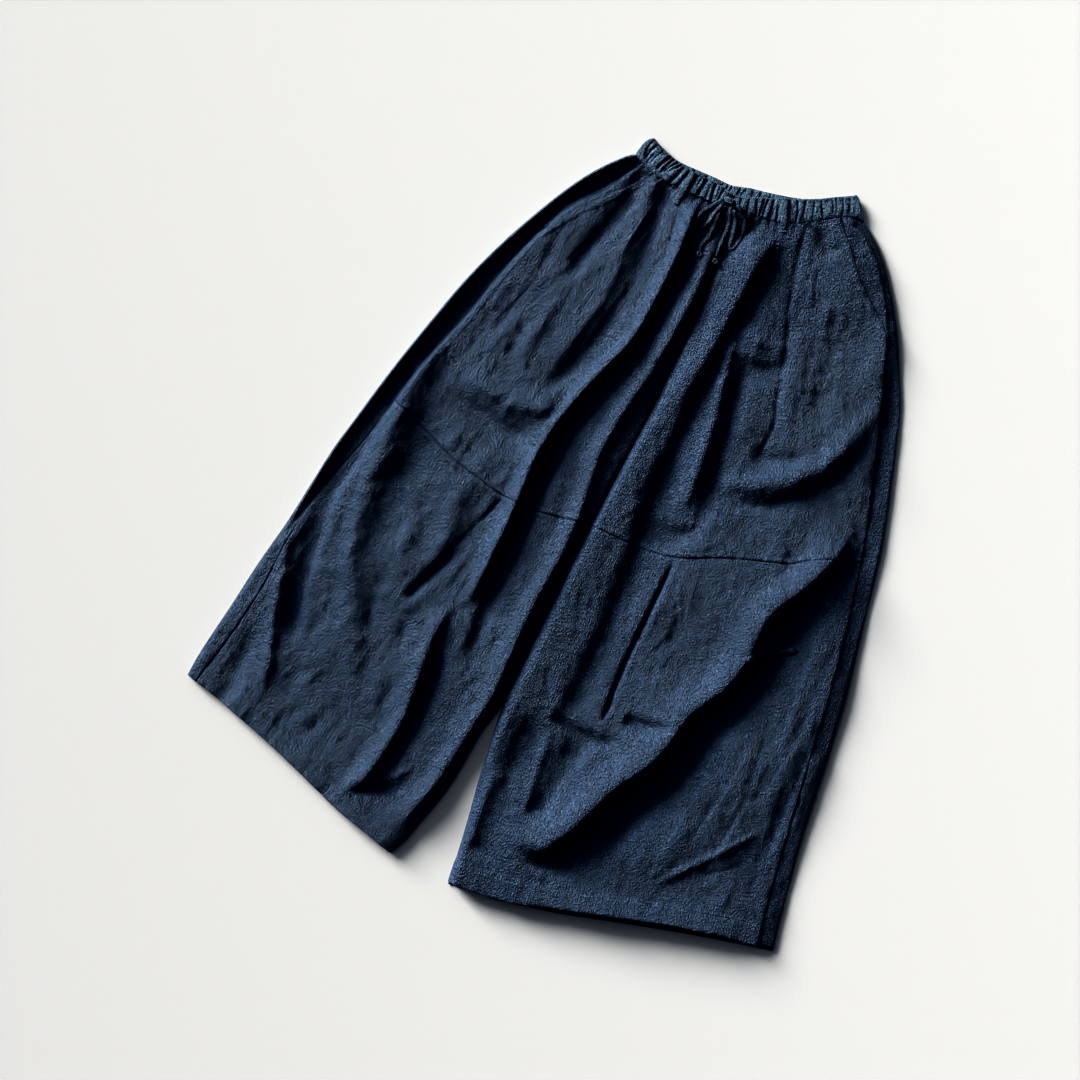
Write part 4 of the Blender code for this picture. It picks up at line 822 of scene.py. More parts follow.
def linen(name, dark, pale, weave_depth=0.00010):
    """Plain-woven linen: uneven threads, slubs, a fine crinkle and a soft bloom on its fibres, with
    painted shade darkening the hollows of the crinkle and the pleats.
    """
    material, nodes, links, shader = new_material(name, LINEN_LOOK)
    cloth = nodes.new("ShaderNodeUVMap")
    cloth.uv_map = "cloth"

    def waves(across, down, detail, roughness=0.55):
        mapping = nodes.new("ShaderNodeMapping")
        set_inputs(mapping, {"Scale": (across, down, 1)})
        links.new(cloth.outputs["UV"], mapping.inputs["Vector"])
        texture = nodes.new("ShaderNodeTexNoise")
        set_inputs(texture, {"Scale": 1.0, "Detail": detail, "Roughness": roughness})
        links.new(mapping.outputs["Vector"], texture.inputs["Vector"])
        return texture.outputs["Fac"]

    def threads(direction):
        texture = nodes.new("ShaderNodeTexWave")
        texture.bands_direction = direction
        set_inputs(texture, {"Scale": WAVE_BANDS / THREAD_PITCH, "Distortion": 1.6,
                             "Detail": 1.0, "Detail Scale": 0.35})
        links.new(cloth.outputs["UV"], texture.inputs["Vector"])
        return texture.outputs["Fac"]

    def calculate(operation, first, second):
        node = nodes.new("ShaderNodeMath")
        node.operation = operation
        for socket, value in zip(node.inputs, (first, second)):
            if isinstance(value, float):
                socket.default_value = value
            else:
                links.new(value, socket)
        return node.outputs[0]

    def sharp(height):
        return calculate("ABSOLUTE", calculate("SUBTRACT", height, 0.5), 0.0)

    crinkle = waves(560, 350, 2, 0.5)
    pleats = sharp(waves(80, 16, 3, 0.6))
    cross_pleats = sharp(waves(40, 62, 2, 0.6))
    warp_slubs, weft_slubs = waves(900, 75, 2), waves(75, 900, 2)
    washed = waves(26, 18, 3)
    weave = calculate("MULTIPLY", threads("X"), threads("Y"))
    slubs = calculate("ADD", warp_slubs, weft_slubs)
    below = None
    for height, depth in ((pleats, 0.0012), (cross_pleats, 0.0010), (crinkle, 0.0060),
                          (slubs, 0.0014), (weave, weave_depth)):
        bump = nodes.new("ShaderNodeBump")
        set_inputs(bump, {"Distance": depth})
        links.new(height, bump.inputs["Height"])
        if below is not None:
            links.new(below, bump.inputs["Normal"])
        below = bump.outputs["Normal"]
    links.new(below, shader.inputs["Normal"])

    # Colour: the slubs and the washed patches are the cloth's own uneven tone; the crinkle and
    # pleat heights add painted shade, darker in the bump's hollows and paler on its crests.
    tone = calculate("MULTIPLY", warp_slubs, 0.55)
    for height, share in ((weft_slubs, 0.40), (washed, 0.35), (crinkle, 0.75), (pleats, 0.45)):
        tone = calculate("ADD", tone, calculate("MULTIPLY", height, share))
    ramp = nodes.new("ShaderNodeValToRGB")
    for stop, position, colour in zip(ramp.color_ramp.elements, TONE_RANGE, (dark, pale)):
        stop.position = position
        stop.color = (*colour, 1)
    links.new(tone, ramp.inputs["Fac"])
    links.new(ramp.outputs["Color"], shader.inputs["Base Color"])
    return material


LEG_LINEN = linen("navy_linen", (0.0006, 0.0042, 0.0140), (0.020, 0.042, 0.077))


KNEE_STITCH = 7.0
POCKET_STITCH = 8.5
SEAM_DIP = 1.35
SEAM_DIP_WIDTH = 1.25
TURNING_RISE = 0.75        # how far the seam allowance lifts the cloth, as far as its stitch row
TURNING_SLOPE = 1.8
ROW_SINK = 0.7
ROW_WIDTH = 0.9
PUCKER = 0.34
PUCKER_WIDTH = 4.5
HEM_SLANT = 0.965          # cosine of the hem's slant across the plan
HEM_STEP = 0.60
HEM_STEP_SLOPE = 2.2
HEM_ROW_INSET = 1.5
HEM_ROW_SINK = 0.65
HEM_EDGE_SINK = 0.9
HEM_PUCKER = 0.45
HEM_PUCKER_WIDTH = 8
CENTRE_LINE = smooth_line(FRONT_SEAM)
CENTRE_DIP = 0.6
CENTRE_DIP_WIDTH = 1.2


def edge_relief(gap, stitched):
    """A sewn edge: it dips into its seam, and stands up as far as its stitch row."""
    dip = -SEAM_DIP * np.exp(-(gap / SEAM_DIP_WIDTH) ** 2)
    if stitched is None:
        return dip
    raised = TURNING_RISE * ease((stitched + TURNING_SLOPE - gap) / TURNING_SLOPE)
    return dip + raised - ROW_SINK * np.exp(-((gap - stitched) / ROW_WIDTH) ** 2)


def stitch_pucker(gap, share, length, at, seed):
    """The cloth drawn up a little along a row of stitches."""
    run = share * length
    return PUCKER * noise(run, run * 0, 3.4, seed) * np.exp(-((gap - at) / PUCKER_WIDTH) ** 2)


def hem_fold(x, y, side):
    """The turned-up hem: a step where the doubled cloth ends, and its stitch row."""
    up = (y - np.interp(x, *hem_order(side))) * HEM_SLANT
    step = HEM_STEP * ease((HEM_DEPTH + HEM_STEP_SLOPE - up) / HEM_STEP_SLOPE)
    row = -HEM_ROW_SINK * np.exp(-((up - HEM_DEPTH + HEM_ROW_INSET) / ROW_WIDTH) ** 2)
    edge = -HEM_EDGE_SINK * np.exp(-(up / ROW_WIDTH) ** 2)
    pucker = HEM_PUCKER * noise(x, y * 0, 6.5, side["seed"] + 7) * \
        np.exp(-((up - HEM_DEPTH) / HEM_PUCKER_WIDTH) ** 2)
    return step + row + edge + pucker


def leg_edges(side):
    """The lines of one leg's front: the outer edge with the pocket's mouth, and the inner one."""
    lines = side["lines"]
    knee_y = side["knee_seam"][0][1]
    seam = clip_line(lines["side_seam"], top=side["pocket_end_y"], foot=knee_y)
    return {
        "outer_upper": np.vstack([lines["pocket_mouth"], seam[1:]]),
        "outer_lower": clip_line(lines["side_seam"], top=knee_y),
        "inner_upper": clip_line(lines["inner"], foot=KNEE_Y),
        "inner_lower": clip_line(lines["inner"], top=KNEE_Y),
    }


def waist_stretch(start_x, end_x, shares):
    """Stations along the waist seam between two places."""
    x = start_x + (end_x - start_x) * np.asarray(shares, float)
    return np.column_stack([x, np.interp(x, WAIST_LINE[:, 0], WAIST_LINE[:, 1])])


def hem_stretch(side, start, end, shares):
    """Stations along the hem between two places."""
    x = start[0] + (end[0] - start[0]) * np.asarray(shares, float)
    return np.column_stack([x, np.interp(x, *hem_order(side))])


def front_rise(x, y, side, part):
    """Height of a front panel's skin, with its sewn edges. Above the knee the seam is stitched."""
    body = rise(x, y, side)
    lines = side["lines"]
    knee, share, _ = nearest(lines["knee_seam"], x, y)
    if part == "upper":
        body += edge_relief(knee, KNEE_STITCH)
        body += stitch_pucker(knee, share, 320, KNEE_STITCH, side["seed"] + 5)
        mouth, share, _ = nearest(lines["pocket_mouth"], x, y)
        near = edge_relief(mouth, POCKET_STITCH)
        body += near + stitch_pucker(mouth, share, 160, POCKET_STITCH, side["seed"] + 6)
        seam_line = clip_line(lines["side_seam"], top=side["pocket_end_y"])
    else:
        body += edge_relief(knee, None)
        body += hem_fold(x, y, side)
        seam_line = lines["side_seam"]
    seam, share, _ = nearest(seam_line, x, y)
    body += edge_relief(seam, None) + stitch_pucker(seam, share, 900, 0, side["seed"] + 8)
    centre, _, _ = nearest(CENTRE_LINE, x, y)
    return body - CENTRE_DIP * np.exp(-(centre / CENTRE_DIP_WIDTH) ** 2)


# The fronts above the knee seam. Each is one panel of linen, gathered into the band, cut away
# along the pocket's slanted mouth, and topstitched above the knee seam.
CLOTH_STEP = 2.3           # between the points of a panel's mesh


def panel(name, plan, height, thickness, leg_name):
    """A panel of the leg's linen from its plan points and their heights."""
    return shell(name + "_cloth", np.dstack([plan, height]), thickness, LEG_LINEN,
                 [name])


def build_upper(side):
    edges, name = leg_edges(side), side["name"]
    outer, inner = edges["outer_upper"], edges["inner_upper"]
    knee = side["lines"]["knee_seam"]
    across = spread(line_length(knee), stitched_edge(POCKET_STITCH), PLAIN_EDGE, CLOTH_STEP)
    down = spread(line_length(outer), PLAIN_EDGE, stitched_edge(KNEE_STITCH), CLOTH_STEP)
    top = waist_stretch(outer[0, 0], FRONT_SEAM[0][0], across)
    plan = patch(stations(outer, down), stations(inner, down), top, stations(knee, across),
                 across, down)
    height = front_rise(plan[..., 0], plan[..., 1], side, "upper")
    return panel("front_upper_" + name, plan, height, CLOTH, name)


# The fronts below the knee seam. Each is a wide panel with a tuck under the seam, and its hem
# is turned up and stitched.
HEM_LIFT_RUN = (100, 60)   # where the lift starts, and how far on it is whole
HEM_LIFT_END = (405, 40)


def hem_raise(x, y, side):
    """How far a hem is drawn back from the back panel's hem, and how far it stands up."""
    above = y - np.interp(x, *hem_order(side))
    lifted = side["hem_lift"] * ease((x - HEM_LIFT_RUN[0]) / HEM_LIFT_RUN[1]) * \
        ease((HEM_LIFT_END[0] - x) / HEM_LIFT_END[1])
    return lifted * ease(1 - above / 45), 0.8 * lifted * np.exp(-(above / 20) ** 2)


def build_lower(side):
    edges, name = leg_edges(side), side["name"]
    outer, inner = edges["outer_lower"], edges["inner_lower"]
    knee = side["lines"]["knee_seam"]
    across = spread(line_length(knee) * 1.1, PLAIN_EDGE, PLAIN_EDGE, CLOTH_STEP)
    down = spread(line_length(inner), PLAIN_EDGE, stitched_edge(HEM_DEPTH - HEM_ROW_INSET),
                  CLOTH_STEP)
    foot = hem_stretch(side, outer[-1], inner[-1], across)
    plan = patch(stations(outer, down), stations(inner, down), stations(knee, across), foot,
                 across, down)
    x, y = plan[..., 0], plan[..., 1]
    drawn_back, stood_up = hem_raise(x, y, side)
    doubled = ease((np.interp(x, *hem_order(side)) + HEM_DEPTH + 4 - y) / 5)
    height = front_rise(x, y, side, "lower") + stood_up
    return panel("front_lower_" + name, np.dstack([x, y + drawn_back]), height,
                 CLOTH + (HEM_CLOTH - CLOTH) * doubled, name)


for leg in (RIGHT, LEFT):
    build_upper(leg)
    build_lower(leg)


# The pocket bearers. Each is a facing of the same linen, sewn into the side seam and the band,
# that shows between the seam and the pocket's mouth, a little below the mouth's edge.
POCKET_RECESS = 0.9
BEARER_WIDTH = 26
BEARER_STITCH = 14.0


def build_bearer(side):
    lines, name = side["lines"], side["name"]
    seam = clip_line(lines["side_seam"], foot=side["pocket_end_y"])
    across = spread(BEARER_WIDTH, PLAIN_EDGE, PLAIN_EDGE, 2.2)
    down = spread(line_length(seam), PLAIN_EDGE, PLAIN_EDGE, 2.4)
    outer, inner = stations(seam, down), stations(lines["pocket_mouth"], down)
    foot = outer[-1] + (inner[-1] - outer[-1]) * across[:, None]
    top = waist_stretch(outer[0, 0], inner[0, 0], across)
    plan = patch(outer, inner, top, foot, across, down)
    x, y = plan[..., 0], plan[..., 1]
    mouth, run, _ = nearest(lines["pocket_mouth"], x, y)
    height = rise(x, y, side) + edge_relief(nearest(lines["side_seam"], x, y)[0], None)
    height -= POCKET_RECESS * ease(across * 1.6)
    height += 2.2 * stitch_pucker(mouth, run, 160, BEARER_STITCH, side["seed"] + 9)
    return panel("pocket_bearer_" + name, plan, height, CLOTH, name)


for leg in (RIGHT, LEFT):
    build_bearer(leg)


# The backs. Each is one long panel from the waist to the hem. It lies flat on the surface,
# turns up at the inside leg, and comes over the side fold to its seam on the front.
CROTCH_LIFT = 25.0
BACK_WAIST_DROP = 2.2
BACK_STEP = 3.0
# Turns at the inside leg and at the side: columns are distance and height of the outer skin,
# distance and height of the lining, both outwards from where the back lies flat
INNER_TURN = (
    (0.0, 2.3, 1.1, 2.3), (0.15, 1.3, 1.2, 1.9), (0.6, 0.5, 1.5, 1.5), (1.4, 0.1, 2.0, 1.25),
    (2.6, 0.0, 2.8, 1.1),
)
SIDE_TURN = (
    (5.0, 0.0, 5.0, 1.1), (3.4, 0.05, 3.6, 1.15), (2.1, 0.35, 2.5, 1.4), (1.0, 1.0, 1.9, 1.9),
    (0.35, 1.9, 1.4, 2.5), (0.0, 3.2, 1.1, 3.2),
)
BACK_SHARES = (0.0, 0.12, 0.27, 0.45, 0.65, 0.84, 1.0)
STRIP_SHARES = (0.02, 0.05, 0.09, 0.14, 0.20, 0.27, 0.35, 0.44, 0.53, 0.62, 0.71, 0.79, 0.86,
                0.92, 0.96, 0.98, 1.0)


def build_back(side):
    lines, name = side["lines"], side["name"]
    end_y, knee_y = side["pocket_end_y"], side["knee_seam"][0][1]
    parts = []
    for line, after_pocket, after_knee in (("side_seam", 0, 0), ("side_fold", 8, 5)):
        stops = (None, end_y + after_pocket, knee_y + after_knee, None)
        parts += [clip_line(lines[line], *stretch) for stretch in zip(stops, stops[1:])]
    counts = [int(line_length(part) / BACK_STEP) for part in parts[:3]]
    shares = [np.linspace(0, 1, count + 1) for count in counts]

    def joined(group):
        rows = [stations(part, share) for part, share in zip(group, shares)]
        return np.vstack([rows[0], rows[1][1:], rows[2][1:]])

    seam, at_side = joined(parts[:3]), joined(parts[3:])
    whole = np.linspace(0, 1, counts[0] + counts[1] + 1)
    inner = np.vstack([stations(clip_line(lines["inner"], foot=KNEE_Y), whole),
                       stations(clip_line(lines["inner"], top=KNEE_Y), shares[2])[1:]])
    top = waist_stretch(at_side[0, 0], FRONT_SEAM[0][0], BACK_SHARES) - (0, BACK_WAIST_DROP)
    foot = hem_stretch(side, at_side[-1], inner[-1], BACK_SHARES)
    meet(at_side, inner, top, foot)
    seam[0] = waist_stretch(seam[0, 0], seam[0, 0], (0,))[0] + (0, -SEAM_GAP / 2)
    seam[-1] = hem_stretch(side, seam[-1], seam[-1], (0,))[0]
    lengths = np.linalg.norm(np.diff(at_side, axis=0), axis=1)
    down = np.concatenate([[0], np.cumsum(lengths)]) / lengths.sum()
    flat = patch(at_side, inner, top, foot, BACK_SHARES, down)
    at_side, inner = flat[:, 0].copy(), flat[:, -1].copy()
    seam = seam + unit(at_side - seam) * SEAM_GAP / 2
    flat[-4:, :, 1] -= side["hem_reach"] * np.linspace(0.25, 1, 4)[:, None]
    from_side, from_inner = unit(seam - at_side), unit(at_side - inner)
    turned = ease((CROTCH_Y - inner[:, 1]) / CROTCH_LIFT)
    hem_y = np.interp(at_side[:, 0], *hem_order(side))
    layer = CLOTH + (HEM_CLOTH - CLOTH) * ease((hem_y + HEM_DEPTH - at_side[:, 1]) / 6)

    skin, lining = [], []
    for distance, height, lining_distance, lining_height in INNER_TURN:
        place = flat[:, -1] + from_inner * distance
        skin.append(np.column_stack([place, height * turned]))
        in_run = distance + (lining_distance - distance) * turned
        place = flat[:, -1] + from_inner * in_run[:, None]
        upper = np.maximum(layer + (lining_height - layer) * turned, height * turned + 0.3)
        lining.append(np.column_stack([place, upper if distance else upper - 0.3]))
    for j in range(len(BACK_SHARES) - 2, 0, -1):
        skin.append(np.column_stack([flat[:, j], np.zeros(len(flat))]))
        lining.append(np.column_stack([flat[:, j], layer]))
    for distance, height, lining_distance, lining_height in SIDE_TURN:
        place = flat[:, 0] + from_side * distance
        skin.append(np.column_stack([place, np.full(len(flat), height)]))
        place = flat[:, 0] + from_side * lining_distance
        level = np.full(len(flat), lining_height)
        upper = np.maximum(level, layer) if height < 1.5 else level
        lining.append(np.column_stack([place, upper]))
    strip = np.stack([at_side + (seam - at_side) * share for share in STRIP_SHARES], axis=1)
    x, y = strip[..., 0], strip[..., 1]
    over = np.dstack([x, y, back_strip_rise(x, y, side)])
    under = over - grid_normals(over) * CLOTH
    under[..., 2] = np.clip(under[..., 2], 0.8, over[..., 2] - 0.5)
    skin = np.concatenate([np.stack(skin, axis=1), over], axis=1)
    lining = np.concatenate([np.stack(lining, axis=1), under], axis=1)
    return shell("back_" + name + "_cloth", skin, None, LEG_LINEN, ["back_" + name],
                 lining)


STRIP_TOP = -52            # the strip sinks between these heights on the plan
STRIP_FOOT = -690
STRIP_EDGE = 2.5


def back_strip_rise(x, y, side):
    """Height of the back where it has come over the side fold, down to its seam."""
    body = rise(x, y, side)
    inside = np.abs(beside(side["lines"]["side_fold"], x, y))
    gap, _, _ = nearest(side["lines"]["side_seam"], x, y)
    above_foot = ease((y - STRIP_FOOT) / 110)
    depth = side["strip_depth"] * above_foot * ease((STRIP_TOP - y) / 10)
    hollow = ease((inside - STRIP_EDGE) / 7) * ease((gap + 1.0) / 5)
    rim = side["strip_rim"] * above_foot * np.exp(-((inside - STRIP_EDGE) / 3.2) ** 2)
    body = body + rim - depth * hollow
    body = np.maximum(body, 1.9 + 0.5 * ease((body + 2) / 4))
    return body + edge_relief(gap, None)


for leg in (RIGHT, LEFT):
    build_back(leg)


# The waistband. A tube of the same linen over a wide elastic, which gathers it into close
# upright folds. The front half stands off the back half, whose inside shows above it.
BAND_CLOTH = 2.2
BAND_END_RISE = 5.6
BAND_ARCH = 6.4
BAND_CROWN = 0.9
# Columns are depth, half width to the right hand and to the left hand, points from the top down
BAND_CREASES = (
    (-1.4, 1.2, 1.4, ((-138, -17), (-141, -28), (-140, -40))),
    (-1.7, 1.3, 1.6, ((-131, -20), (-136, -30), (-138, -43))),
    (-1.1, 1.2, 1.4, ((-129, -31), (-133, -40), (-134, -50))),
    (-0.9, 1.4, 1.4, ((-121, -24), (-126, -34), (-130, -46))),
    (-2.4, 1.6, 2.2, ((-109, -26), (-115, -36), (-121, -50))),
    (-2.2, 1.3, 1.8, ((-103, -27), (-109, -37), (-114, -52))),
    (-2.0, 1.1, 1.6, ((-97, -28), (-104, -37), (-110, -48))),
    (-1.9, 1.2, 1.5, ((-91, -29), (-99, -38), (-107, -47))),
    (-2.9, 2.2, 2.8, ((-88, -31), (-92, -42), (-98, -60))),
    (-3.0, 1.8, 2.4, ((-79, -33), (-83, -44), (-88, -62))),
    (-2.8, 1.8, 2.2, ((-68, -33), (-70, -45), (-73, -62))),
    (-0.9, 1.4, 1.6, ((-62, -35), (-64, -50))),
    (-2.8, 1.8, 2.2, ((-55, -33), (-57, -45), (-58, -58))),
    (-1.2, 2.4, 2.4, ((-49, -38), (-46, -58))),
    (-2.4, 1.6, 2.2, ((-42.5, -33), (-42, -44), (-39, -58))),
    (-1.0, 1.3, 1.5, ((-36, -35), (-35, -50))),
    (-2.0, 1.2, 1.6, ((-30, -34), (-31.5, -44), (-31, -54))),
    (-3.4, 4.0, 4.6, ((-16, -38), (-16, -48), (-15, -60))),
    (-1.4, 1.4, 1.6, ((-5, -36), (-4, -45), (-2, -53))),
    (-2.0, 1.1, 1.5, ((4, -33), (6, -42), (9, -52))),
    (-2.0, 1.2, 1.8, ((12, -29), (17, -40), (21, -51))),
    (-2.4, 1.2, 1.7, ((20.5, -25), (23, -35), (24.5, -50))),
    (-2.5, 1.2, 1.6, ((26, -23), (27, -36), (29, -50))),
    (-2.2, 1.2, 1.5, ((33, -19), (35, -33), (37.5, -49))),
    (-1.3, 1.1, 1.3, ((38, -28), (40, -48))),
    (-1.8, 1.2, 1.4, ((41, -26), (45, -38), (48, -48))),
    (-1.3, 1.3, 1.6, ((52, -12), (57, -25), (61, -44))),
    (-1.6, 1.4, 1.6, ((60, -8), (67, -22), (71, -38))),
    (-1.2, 1.4, 1.6, ((70, -4), (74, -17), (76, -34))),
    (-1.0, 1.2, 1.6, ((80, 1), (84, -10), (88, -26))),
    (-1.1, 1.2, 1.6, ((88, 5), (93, -5), (100, -16))),
    (-1.0, 1.0, 1.3, ((99, 12), (105, 4), (108, -5))),
    (-0.9, 1.0, 1.3, ((104, 15), (109, 6), (113, -6))),
    (-1.2, 1.2, 1.4, ((120, 24), (124, 13), (127, 2))),
    (-0.8, 1.2, 1.4, ((112, 19), (117, 9), (121, -4))),
)
BACK_BAND_CREASES = (
    (-1.5, 1.6, 2.2, ((-96, -25), (-98, -34))), (-1.7, 1.6, 2.0, ((-73, -24), (-75, -34))),
    (-1.7, 1.6, 2.0, ((-56, -24), (-58, -34))), (-1.5, 2.6, 3.2, ((-32, -25), (-37, -33))),
    (-1.6, 1.2, 1.4, ((-27, -25), (-28, -34))), (-1.6, 1.2, 1.4, ((-22, -24), (-23, -34))),
    (-1.7, 1.6, 2.2, ((-11, -20), (-12, -36))), (-1.6, 1.4, 1.6, ((-4, -21), (-8, -34))),
    (-1.7, 3.0, 3.2, ((5, -17), (7, -31))), (-1.6, 1.8, 1.8, ((15, -14), (15, -27))),
    (-1.3, 1.4, 1.4, ((27, -13), (27, -23))), (-1.3, 1.4, 1.4, ((32, -11), (32, -21))),
    (-1.0, 1.4, 1.6, ((50, -5), (52, -14))), (-1.0, 1.4, 1.6, ((68, -1), (70, -9))),
)
BAND_COLUMNS = 340
BAND_ROWS = (0.0, 0.015, 0.04, 0.08, 0.13, 0.19, 0.26, 0.33, 0.41, 0.5, 0.59, 0.67, 0.74, 0.81,
             0.87, 0.92, 0.96, 0.985, 1.0)
# The band's upper edges from its right end to its left, and its two ends from the top down
FRONT_BAND_TOP = (
    (-139, -15), (-125, -21), (-110, -26), (-95, -30), (-78, -33), (-60, -33), (-40, -34),
    (-25, -36), (-10, -37), (0, -34), (10, -29), (30, -21), (42, -15), (60, -8), (75, -1),
    (85, 4), (100, 13), (118, 23), (126, 29),
)
BACK_BAND_TOP = (
    (-139, -13), (-125, -20), (-110, -25), (-90, -27), (-50, -26), (-25, -26), (-10, -22),
    (0, -19), (25, -14), (50, -8), (75, 0), (85, 5), (100, 15), (118, 25), (126, 30.5),
)
BAND_RIGHT_END = ((-139, -14), (-146, -20), (-150, -31), (-152, -42))
BAND_LEFT_END = ((126, 30), (134, 21), (142, 9), (149, 2))
BAND_LINEN = linen("band_linen", (0.009, 0.025, 0.048), (0.064, 0.106, 0.146))


def band_arch(x):
    """How far the front of the waistband stands off its back, from 0 at the ends to 1."""
    first, last = BAND_RIGHT_END[-1][0], BAND_LEFT_END[-1][0]
    return np.sin(np.pi * np.clip((x - first) / (last - first), 0, 1)) ** 0.7


def band_plan(top_table, rows):
    """Plan points of one half of the waistband, from its top edge to the waist seam."""
    columns = np.linspace(0, 1, BAND_COLUMNS + 1)
    top = stations(smooth_line(top_table), columns)
    foot = stations(WAIST_LINE, columns)
    right_end = stations(smooth_line(BAND_RIGHT_END), rows)
    left_end = stations(smooth_line(BAND_LEFT_END), rows)
    right_end[0], right_end[-1], left_end[0], left_end[-1] = top[0], foot[0], top[-1], foot[-1]
    return patch(right_end, left_end, top, foot, columns, rows)


def creased(x, y, table):
    """The rise of all of a table's creases at plan points."""
    total = np.zeros_like(x)
    for height, right_hand, left_hand, points in table:
        total += crease(x, y, height, right_hand, left_hand, smooth_line(points, 6), 0.12)
    return total


def band_front_rise(x, y, down):
    """Height of the front band's skin, down being 0 at its top edge and 1 at its foot."""
    body = BAND_END_RISE + BAND_ARCH * band_arch(x) + BAND_CROWN * np.sin(np.pi * down)
    body = body + 1.35 * creased(x, y, BAND_CREASES) + 0.4 * noise(x, y / 3, 3.1, 71)
    body = body + 0.35 * noise(x, y / 3, 6.0, 73)
    edge = np.minimum(down, 1 - down) * 30
    return body - 1.1 * np.exp(-(edge / 1.1) ** 2)


def build_waistband():
    rows = np.array(BAND_ROWS)
    plan = band_plan(FRONT_BAND_TOP, rows)
    x, y = plan[..., 0], plan[..., 1]
    down = rows[:, None] * np.ones(x.shape)
    skin = np.dstack([x, y, band_front_rise(x, y, down)])
    under = BAND_END_RISE + BAND_ARCH * band_arch(x) + \
        0.4 * creased(x, y, BAND_CREASES) - BAND_CLOTH
    under = np.minimum(np.maximum(under, BAND_CLOTH + 0.3), skin[..., 2] - 0.5)
    front = shell("waistband_front_cloth", skin, None, BAND_LINEN,
                  ["waistband_front"], np.dstack([x, y, under]))
    plan = band_plan(BACK_BAND_TOP, rows)
    x, y = plan[..., 0], plan[..., 1]
    edge = np.minimum(rows, 1 - rows)[:, None] * 30
    top = BAND_CLOTH + 0.3 * noise(x, y / 3, 3.3, 77) + creased(x, y, BACK_BAND_CREASES)
    top = np.maximum(top - 0.8 * np.exp(-(edge / 1.0) ** 2) - 0.2, 0.5)
    back = shell("waistband_back_cloth", np.dstack([x, y, top]), None, BAND_LINEN,
                 ["waistband_back"], np.dstack([x, y, np.zeros_like(x)]))
    return front, back


build_waistband()


# The belt loops. Two narrow strips of doubled linen over the band, turned in at their ends and
# sewn down above and below it.
BELT_LOOP_WIDTH = 8.0
BELT_LOOP_CLOTH = 1.4
BELT_LOOPS = (
    ("belt_loop_right", (-75.5, -32.5), (-79.0, -79.0)),
    ("belt_loop_left", (45.0, -14.5), (61.0, -54.0)),
)


def support_rise(x, y):
    """Height of what lies at a plan point: the band's front, or a front panel."""
    x, y = np.asarray(x, float), np.asarray(y, float)
    seam_y = np.interp(x, WAIST_LINE[:, 0], WAIST_LINE[:, 1])
    on_right = beside(CENTRE_LINE, x, y) < 0
    panel = np.where(on_right, rise(x, y, RIGHT), rise(x, y, LEFT))
    return np.where(y > seam_y, band_front_rise(x, y, np.full(x.shape, 0.5)), panel)


def support_under(x, y, reach):
    """The highest support within a small reach of plan points."""
    around = [(dx, dy) for dx in (-reach, 0, reach) for dy in (-reach, 0, reach)]
    return np.max([support_rise(x + dx, y + dy) for dx, dy in around], axis=0)


def smoothed(values, rounds):
    """A run of values with its bumps taken down, never below where they were."""
    for _ in range(rounds):
        ends = np.r_[values[:1], values, values[-1:]]
        values = np.maximum(values, 0.5 * values + 0.25 * (ends[:-2] + ends[2:]))
    return values


def build_belt_loop(name, top, foot):
    top, foot = np.array(top, float), np.array(foot, float)
    way = unit(foot - top)
    across = np.array([-way[1], way[0]])
    run = np.linspace(0, 1, 57)
    wide = np.array([-0.5, -0.49, -0.45, -0.36, -0.22, 0.0, 0.22, 0.36, 0.45, 0.49, 0.5])
    plan = top + (foot - top) * run[:, None, None] + \
        across * (wide * BELT_LOOP_WIDTH)[None, :, None]
    ground = support_under(plan[..., 0], plan[..., 1], 0.8).max(axis=1)
    level = smoothed(ground, 60) + 0.3
    sag = 0.8 * np.exp(-((run - 0.93) / 0.03) ** 2) + 0.5 * np.exp(-((run - 0.05) / 0.03) ** 2)
    round_off = 0.9 * (np.abs(wide) * 2) ** 6
    ridge = 0.22 * np.exp(-((np.abs(wide) - 0.33) / 0.05) ** 2)
    skin = level[:, None] + BELT_LOOP_CLOTH - sag[:, None] - round_off[None] - ridge[None]
    skin += 0.18 * noise(plan[..., 0], plan[..., 1], 3.0, 83)
    lining = np.minimum(level[:, None] - 0.3 + 0 * skin, skin - 0.25)
    return shell(name + "_cloth", np.dstack([plan, skin]), None, BAND_LINEN, [name],
                 np.dstack([plan, lining]))


for loop_name, loop_top, loop_foot in BELT_LOOPS:
    build_belt_loop(loop_name, loop_top, loop_foot)


# The tie. A narrow rolled tape of the same linen comes out of the band at the front and is tied
# in a bow: two small loops, and two ends that hang over the gathers, each with a tight knot.
TIE_WIDTH = 4.8
KNOT_CENTRE = (-17, -47)
KNOT_LENGTH = 11
TIE_RUNS = {
    "tie_loop_right": ((-26.6, -49), (-32, -57), (-39, -67), (-45, -78), (-44, -89),
                       (-36.5, -92), (-31.5, -82), (-29.5, -70), (-24.5, -55)),
    "tie_loop_left": ((-7.4, -48), (2, -53), (11, -63), (14.5, -80), (12.5, -99), (6, -100),
                      (4, -84), (0, -68), (-8.5, -55)),
    "tie_end_right": ((-19.5, -53.5), (-22, -63), (-23.5, -80), (-22.5, -97), (-26, -112),
                      (-24, -124)),
    "tie_end_left": ((-14.5, -53.5), (-9, -63), (-5.5, -78), (-5.5, -93), (-4.5, -108),
                     (-2, -124)),
}
LOOP_START_RISE = 5.4
END_START_RISE = 2.6
TIE_LINEN = linen("tie_linen", (0.0065, 0.019, 0.038), (0.048, 0.080, 0.112), 0.00006)


